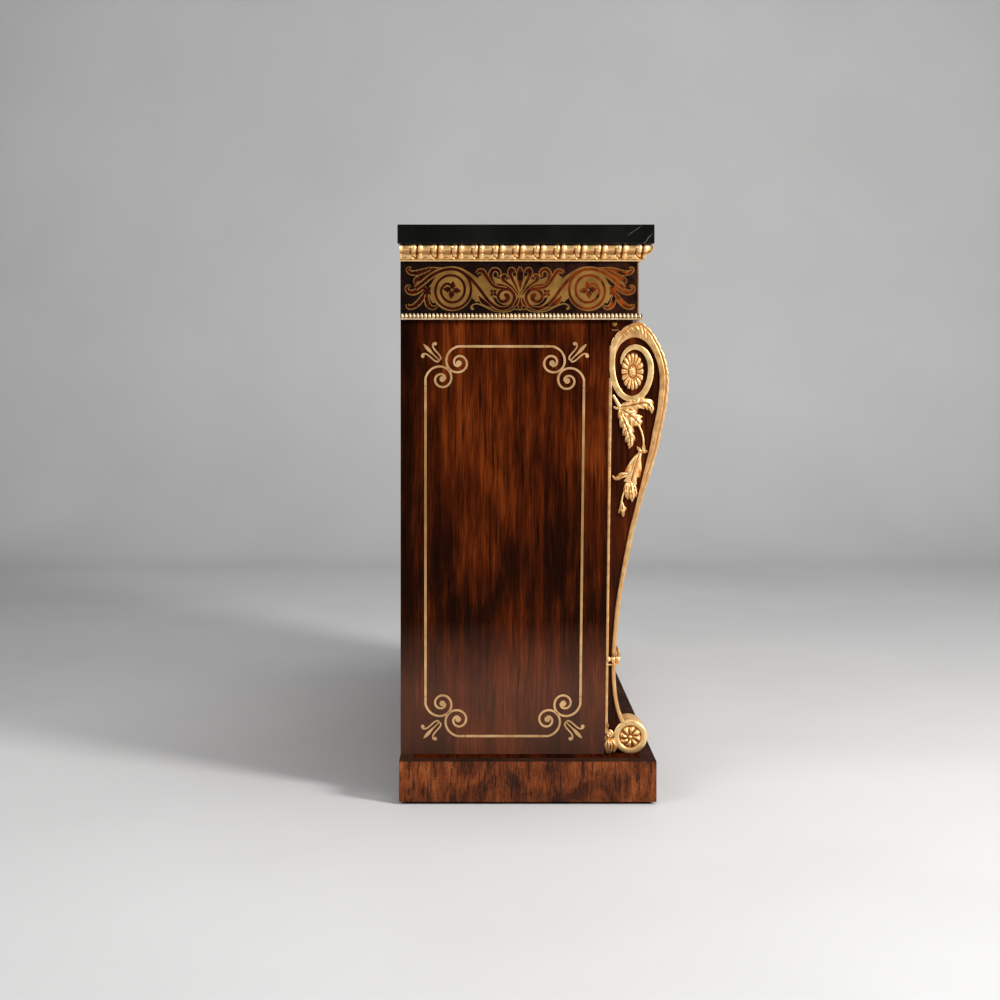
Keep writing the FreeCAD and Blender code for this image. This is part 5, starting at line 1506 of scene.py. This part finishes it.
    def band(self, stroke: Stroke, rise: float, place: Place, count: int) -> Patch:
        """A raised band: a flat-topped section with eased edges, carried along a curve.

        Args:
            stroke: places with the half width there.
            rise: its height.
            place: turns places right, up and out into points.
            count: stations along it.

        Returns:
            A closed shell.
        """
        curve = through(stroke, count)
        q = np.array([-1.0, -1.0, -0.93, -0.78, -0.4, 0.0, 0.4, 0.78, 0.93, 1.0, 1.0])
        height = np.array([-1.0, 0.62, 0.86, 0.97, 1.0, 1.0, 1.0, 0.97, 0.86, 0.62, -1.0]) * rise
        flat = beside(curve, curve[:, 2:3] * q)
        return capped(place(flat[..., 0], flat[..., 1], np.broadcast_to(height, flat.shape[:2])))

    def flower(self, place: Place) -> Patch:
        """The oval rosette: a height over an oval disc, with cupped petals, a ring of beads and a domed boss.

        Args:
            place: turns places right, up and out into points.

        Returns:
            A closed shell.
        """
        angle = circle(14 * self.rosette_petals)
        radius = np.concatenate([np.linspace(0, 1, 30), [1.0, 0.0]])[:, None]
        petal = np.abs(np.cos(self.rosette_petals * angle / 2))
        reach = 0.90 + 0.10 * petal ** 0.6
        cup = slope(radius, 0.38, 0.54) * np.sqrt(slope(radius, 1.0, 0.84))
        slit = bell(petal, 1.0, 0.012) * slope(radius, 0.45, 0.55) * slope(radius, 0.92, 0.87)
        petals = cup * (0.30 + 0.70 * petal ** 0.6) * (0.72 + 0.38 * radius) - 0.14 * slit
        ring = bell(radius, 0.36, 0.035)
        boss = 0.62 * dome(radius / 0.34)
        bead = np.cos(9 * angle)
        beads = 0.20 * bell(radius, 0.24, 0.05) * bead
        between = bell(radius, 0.24, 0.06) * np.clip(-bead, 0, 1)
        hollow = 0.95 * (1 - petal) ** 2.4 * (radius > 0.42) + 0.5 * slit + 0.9 * ring + 0.6 * between
        out = self.rosette_rise * (0.10 + 0.78 * petals + boss + beads)
        out[-2:] = -1.0
        right = self.rosette[0] + self.rosette_half[0] * radius * reach * np.cos(angle)
        up = self.rosette[1] + self.rosette_half[1] * radius * reach * np.sin(angle)
        return grid(place(right, up, out), around=True, hollow=hollow)

    def foot_roll(self) -> Patch:
        """The foot's roll: a profile turned about a level axis, with curled petals on both ends and rings.

        Returns:
            A closed shell.
        """
        angle = circle(16 * self.roll_petals)
        radius = np.linspace(0, 1, 34)[:, None]
        swirl = np.abs(np.cos(self.roll_petals * angle / 2 + 1.6 * radius))
        edge = 0.58 + 0.08 * swirl
        arch = np.sin(np.pi * slope(radius, 0.15, edge)) ** 0.7
        petals = arch * (0.10 + 0.90 * swirl ** 0.8)
        boss = dome(radius / 0.14)
        rim = dome((radius - 0.84) / 0.19)
        out = 4.6 * petals + 4.6 * boss + 2.4 * rim - 2.2 + 0 * angle
        rings = 0.75 * bell(radius, 0.645, 0.03) + 0.7 * bell(radius, 0.16, 0.03)
        hollow = 0.95 * (1 - swirl) ** 1.3 * (np.abs(radius - 0.40) < 0.24) + rings
        turned = np.linspace(0, 1, 25)[:, None]
        waist = 1.0 - 0.05 * np.sin(np.pi * turned) ** 0.5 + 0.022 * np.cos(8 * np.pi * turned)
        outer, inner = self.outer - self.roll_inset, self.inner + self.roll_inset
        barrel_x = outer - 1.5 - (outer - inner - 3.0) * turned + 0 * angle
        x = np.concatenate([outer + out, barrel_x, (inner - out)[::-1]])
        size = np.concatenate([radius, waist, radius[::-1]]) * self.roll_radius
        forward = self.roll[0] + size * np.cos(angle)
        up = self.roll[1] + size * np.sin(angle)
        barrel = 0.5 * np.clip(-np.cos(8 * np.pi * turned), 0, 1) ** 4 + 0 * angle
        return grid(self.points(x, forward, up), around=True,
                    hollow=np.concatenate([hollow, barrel, hollow[::-1]]))

    def collar(self) -> Patch:
        """The collar's balls and leaves on the two sides and its balls on the front, over a thin ledge.

        Returns:
            Closed shells.
        """
        patches = []
        for place in (self.on_outer, self.on_inner):
            for forward, up, radius in self.collar_balls:
                centre = (forward, up, self.core_recess - 0.4)
                patches.append(ball(centre, (radius, radius + 0.6, radius), place))
            rise = self.collar_leaf_rise + self.core_recess
            patches += [leaf(stroke, place, rise, 1.5, 1.0) for stroke in self.collar_leaves]

        def on_front(x: Array, up: Array, out: Array) -> Array:
            """Points off the leg's front."""
            return self.points(x, self.collar_front + out, up)

        inset = self.collar_front_inset
        for x in np.linspace(self.inner + inset, self.outer - inset, self.collar_front_count):
            patches.append(ball((x, self.collar_height, 1.0), self.collar_front_ball, on_front))
        near, far, low, high = self.collar_ledge
        x = np.linspace(self.outer + self.collar_over, self.inner - self.collar_over, 3)[:, None]
        forward, up = np.array([near, far, far, near]), np.array([low, low, high, high])
        patches.append(capped(self.points(x, forward, up)))
        return merged(patches)

    def foot_ornament(self, place: Place) -> Patch:
        """The little scroll and leaves behind the roll.

        Args:
            place: turns places right, up and out into points.

        Returns:
            Closed shells.
        """
        turn = np.linspace(0, 1, 24)
        angle = np.pi * (0.5 - 2.6 * turn)
        radius = self.foot_scroll_radius * (1 - 0.66 * turn)
        scroll = np.column_stack([self.foot_scroll[0] + radius * np.cos(angle),
                                  self.foot_scroll[1] + radius * np.sin(angle), 2.3 - 0.9 * turn])
        eye = ball((*self.foot_scroll, self.foot_ball_out), self.foot_ball, place)
        lobes = [leaf(stroke, place, self.lobe_rise, 1.0, self.lobe_sunk) for stroke in self.foot_lobes]
        return merged([tube(scroll, place, self.foot_scroll_out, 60), eye] + lobes)

    def foot_bracket(self) -> Patch:
        """The bracket behind the roll: a rounded block under a small roll, both carried across the console.

        The block's section is a superellipse, and the roll's a circle.

        Returns:
            Closed shells.
        """
        angle = circle(40)
        end, body = self.bracket_insets
        x = np.array([self.outer - end, self.outer - body, self.inner + body, self.inner + end])[:, None]
        ends = np.array([self.bracket_end, 1.0, 1.0, self.bracket_end])[:, None]
        near, far, low, high = self.foot_core
        cosine, sine = np.cos(angle), np.sin(angle)
        wide = np.sign(cosine) * np.abs(cosine) ** 0.5 * (far - near) / 2 * ends
        tall = np.sign(sine) * np.abs(sine) ** 0.5 * (high - low) / 2 * ends
        block = capped(self.points(x, (near + far) / 2 + wide, (low + high) / 2 + tall))
        radius = self.foot_scroll_roll * ends
        roll = capped(self.points(x, self.foot_scroll[0] + radius * cosine,
                                  self.foot_scroll[1] + radius * sine))
        return merged([block, roll])

    def spandrel_block(self) -> Patch:
        """The wooden filling between the crown, the cupboard and the bead strip: a six-sided prism."""
        corner = np.array(self.spandrel)
        inset = self.spandrel_inset
        x = np.linspace(self.outer - inset, self.inner + inset, 3)[:, None]
        return capped(self.points(x, corner[:, 0], corner[:, 1]))

    def crown_knob(self, place: Place) -> Patch:
        """The small turned knob on the filling, with a fillet under it."""
        forward, up, radius = self.knob
        line = [(forward + right, up + rise, half) for right, rise, half in self.knob_fillet]
        return merged([ball((forward, up, self.knob_out), (radius, radius, self.knob_rise), place),
                       tube(line, place, self.knob_out, 8)])

    def build(self) -> None:
        """Make both consoles' pieces."""
        places = (self.on_outer, self.on_inner)
        edging = [self.edging(np.concatenate([both_edges(self.leg), self.crown]), True, 620),
                  self.edging(both_edges(self.back_strip), False, 60)]
        sprays = []
        for place in places:
            sprays += [leaf(stroke, place, rise, lobes) for stroke, rise, lobes in self.leaf_strokes]
            sprays += [tube(stroke, place, 1.6) for stroke in self.stems]
        volutes = [self.band(self.volute, self.volute_rise, place, 150) for place in places]
        ornaments = [self.foot_ornament(place) for place in places] + [self.foot_bracket()]
        gilt = self.palette.gilt
        for name, patches, material, node in (
                ("console_gilt_edging", edging, self.palette.band_gilt, "console_edgings"),
                ("console_volute_bands", volutes, gilt, "console_volutes"),
                ("console_oval_rosettes", [self.flower(place) for place in places], gilt, "console_rosettes"),
                ("console_leaf_sprays", sprays, gilt, "console_leaves"),
                ("console_collar_balls", [self.collar()], gilt, "console_collars"),
                ("console_foot_rolls", [self.foot_roll()], gilt, "console_feet"),
                ("console_foot_sprays", ornaments, gilt, "console_foot_blocks")):
            make_piece(name, both_sides(merged(patches)), material, replaces=(node,))
        # Painted shade: the knob and its fillet take the darker brass rather than the gilding, as the gilt
        # knob sits in shade.
        knobs = [self.crown_knob(place) for place in places]
        make_piece("console_crown_knobs", both_sides(merged(knobs)), self.palette.brass)
        make_piece("console_spandrels", both_sides(self.spandrel_block()),
                   self.palette.rosewood[Grain.UPRIGHT])


# Stage and light

@dataclass(frozen=True)
class Lamp:
    """A round area lamp, in metres and watts, that looks at a target."""

    name: str
    place: Triple
    target: Triple
    size: float
    watts: float

    def build(self) -> None:
        """Hang the lamp and turn it to its target."""
        light = bpy.data.lights.new(self.name, "AREA")
        light.shape = "DISK"
        light.size = self.size
        light.energy = self.watts
        holder = bpy.data.objects.new(self.name, light)
        holder.location = self.place
        x, y, z = np.array(self.target) - np.array(self.place)
        holder.rotation_euler = (math.atan2(math.hypot(x, y), -z), 0.0, math.atan2(-x, y))
        bpy.context.scene.collection.objects.link(holder)


@dataclass
class Studio:
    """Plain pale floor and backdrop, soft lamps and the camera."""

    sensor: float = 36.0
    focal_pixels: float = 1600.0
    frame_pixels: float = 1000.0
    axis_pixel: Pair = (481.0, 375.0)
    camera: Triple = (-3057.0, 83.9, 673.0)
    floor_near: float = -6000.0
    floor_far: float = 2600.0
    floor_half: float = 6000.0
    wall: float = 4200.0
    bend: float = 900.0
    sky: Colour = (0.92, 0.95, 1.0)
    sky_strength: float = 0.13
    lamps: tuple[Lamp, ...] = (
        Lamp("key_lamp", (-2.3, -2.9, 1.9), (-0.5, -0.1, 0.55), 1.0, 185.0),
        Lamp("fill_lamp", (-2.6, 2.6, 2.4), (-0.5, 0.1, 0.5), 2.4, 60.0),
        Lamp("top_lamp", (-0.4, -0.6, 3.4), (-0.2, 0.0, 0.5), 2.2, 60.0))

    def build(self) -> None:
        """Make the stage, the lamps and the camera."""
        self.build_sweep()
        self.build_lamps()
        self.build_camera()

    def build_sweep(self) -> None:
        """The floor that bends up into a backdrop: a line, a quarter circle and a line, carried sideways."""
        angle = np.linspace(0, np.pi / 2, 24)
        bend = np.column_stack([self.floor_far + self.bend * np.sin(angle), self.bend * (1 - np.cos(angle))])
        profile = np.concatenate([[[self.floor_near, 0.0]], bend, [[self.floor_far + self.bend, self.wall]]])
        across = np.array([self.floor_half, -self.floor_half])
        points = np.stack(np.broadcast_arrays(profile[:, :1], across, profile[:, 1:]), axis=-1)
        patch = grid(points * MM)
        mesh = bpy.data.meshes.new("stage_sweep")
        mesh.from_pydata(patch.vertices.tolist(), [], patch.quads[:, ::-1].tolist())
        mesh.shade_smooth()
        mesh.materials.append(StagePaint("stage_paint").material())
        sweep = bpy.data.objects.new("stage_sweep", mesh)
        bpy.context.scene.collection.objects.link(sweep)

    def build_lamps(self) -> None:
        """A key lamp ahead of the front corner, a broad fill behind the camera and a lamp overhead."""
        world = bpy.data.worlds.new("studio_world")
        world.use_nodes = True
        background = world.node_tree.nodes["Background"]
        background.inputs["Color"].default_value = (*self.sky, 1.0)
        background.inputs["Strength"].default_value = self.sky_strength
        bpy.context.scene.world = world
        for lamp in self.lamps:
            lamp.build()

    def build_camera(self) -> None:
        """The camera square to the left side, shifted so that its axis falls on the measured pixel."""
        lens = bpy.data.cameras.new("camera")
        lens.sensor_width = self.sensor
        lens.lens = self.sensor * self.focal_pixels / self.frame_pixels
        lens.shift_x = 0.5 - self.axis_pixel[0] / self.frame_pixels
        lens.shift_y = self.axis_pixel[1] / self.frame_pixels - 0.5
        holder = bpy.data.objects.new("camera", lens)
        holder.location = tuple(value * MM for value in self.camera)
        holder.rotation_euler = (math.pi / 2, 0.0, -math.pi / 2)
        bpy.context.scene.collection.objects.link(holder)
        bpy.context.scene.camera = holder


def main() -> None:
    """Build every finish and piece in order."""
    logging.basicConfig(level=logging.INFO, format="%(name)s %(message)s")
    bpy.context.scene.view_settings.view_transform = "Standard"
    palette = Palette()
    Casework(palette).dress()
    SideInlay(palette).build()
    FriezeInlay(palette).build()
    Moulding("cornice_leaf_carving", ("cornice_left", "cornice_front", "cornice_right"), foot=854.0,
             pitch=32.5, columns=28, profile=cornice_profile, carving=cornice_carving, rows=42,
             material=palette.gilt, phase=5.4).build()
    Moulding("bead_strip_carving", ("bead_left", "bead_front", "bead_right"), foot=761.0,
             pitch=6.2, columns=8, profile=bead_profile, carving=bead_carving, rows=9,
             material=palette.bead_gilt).build()
    Console(palette).build()
    Studio().build()


if __name__ == "__main__":
    main()
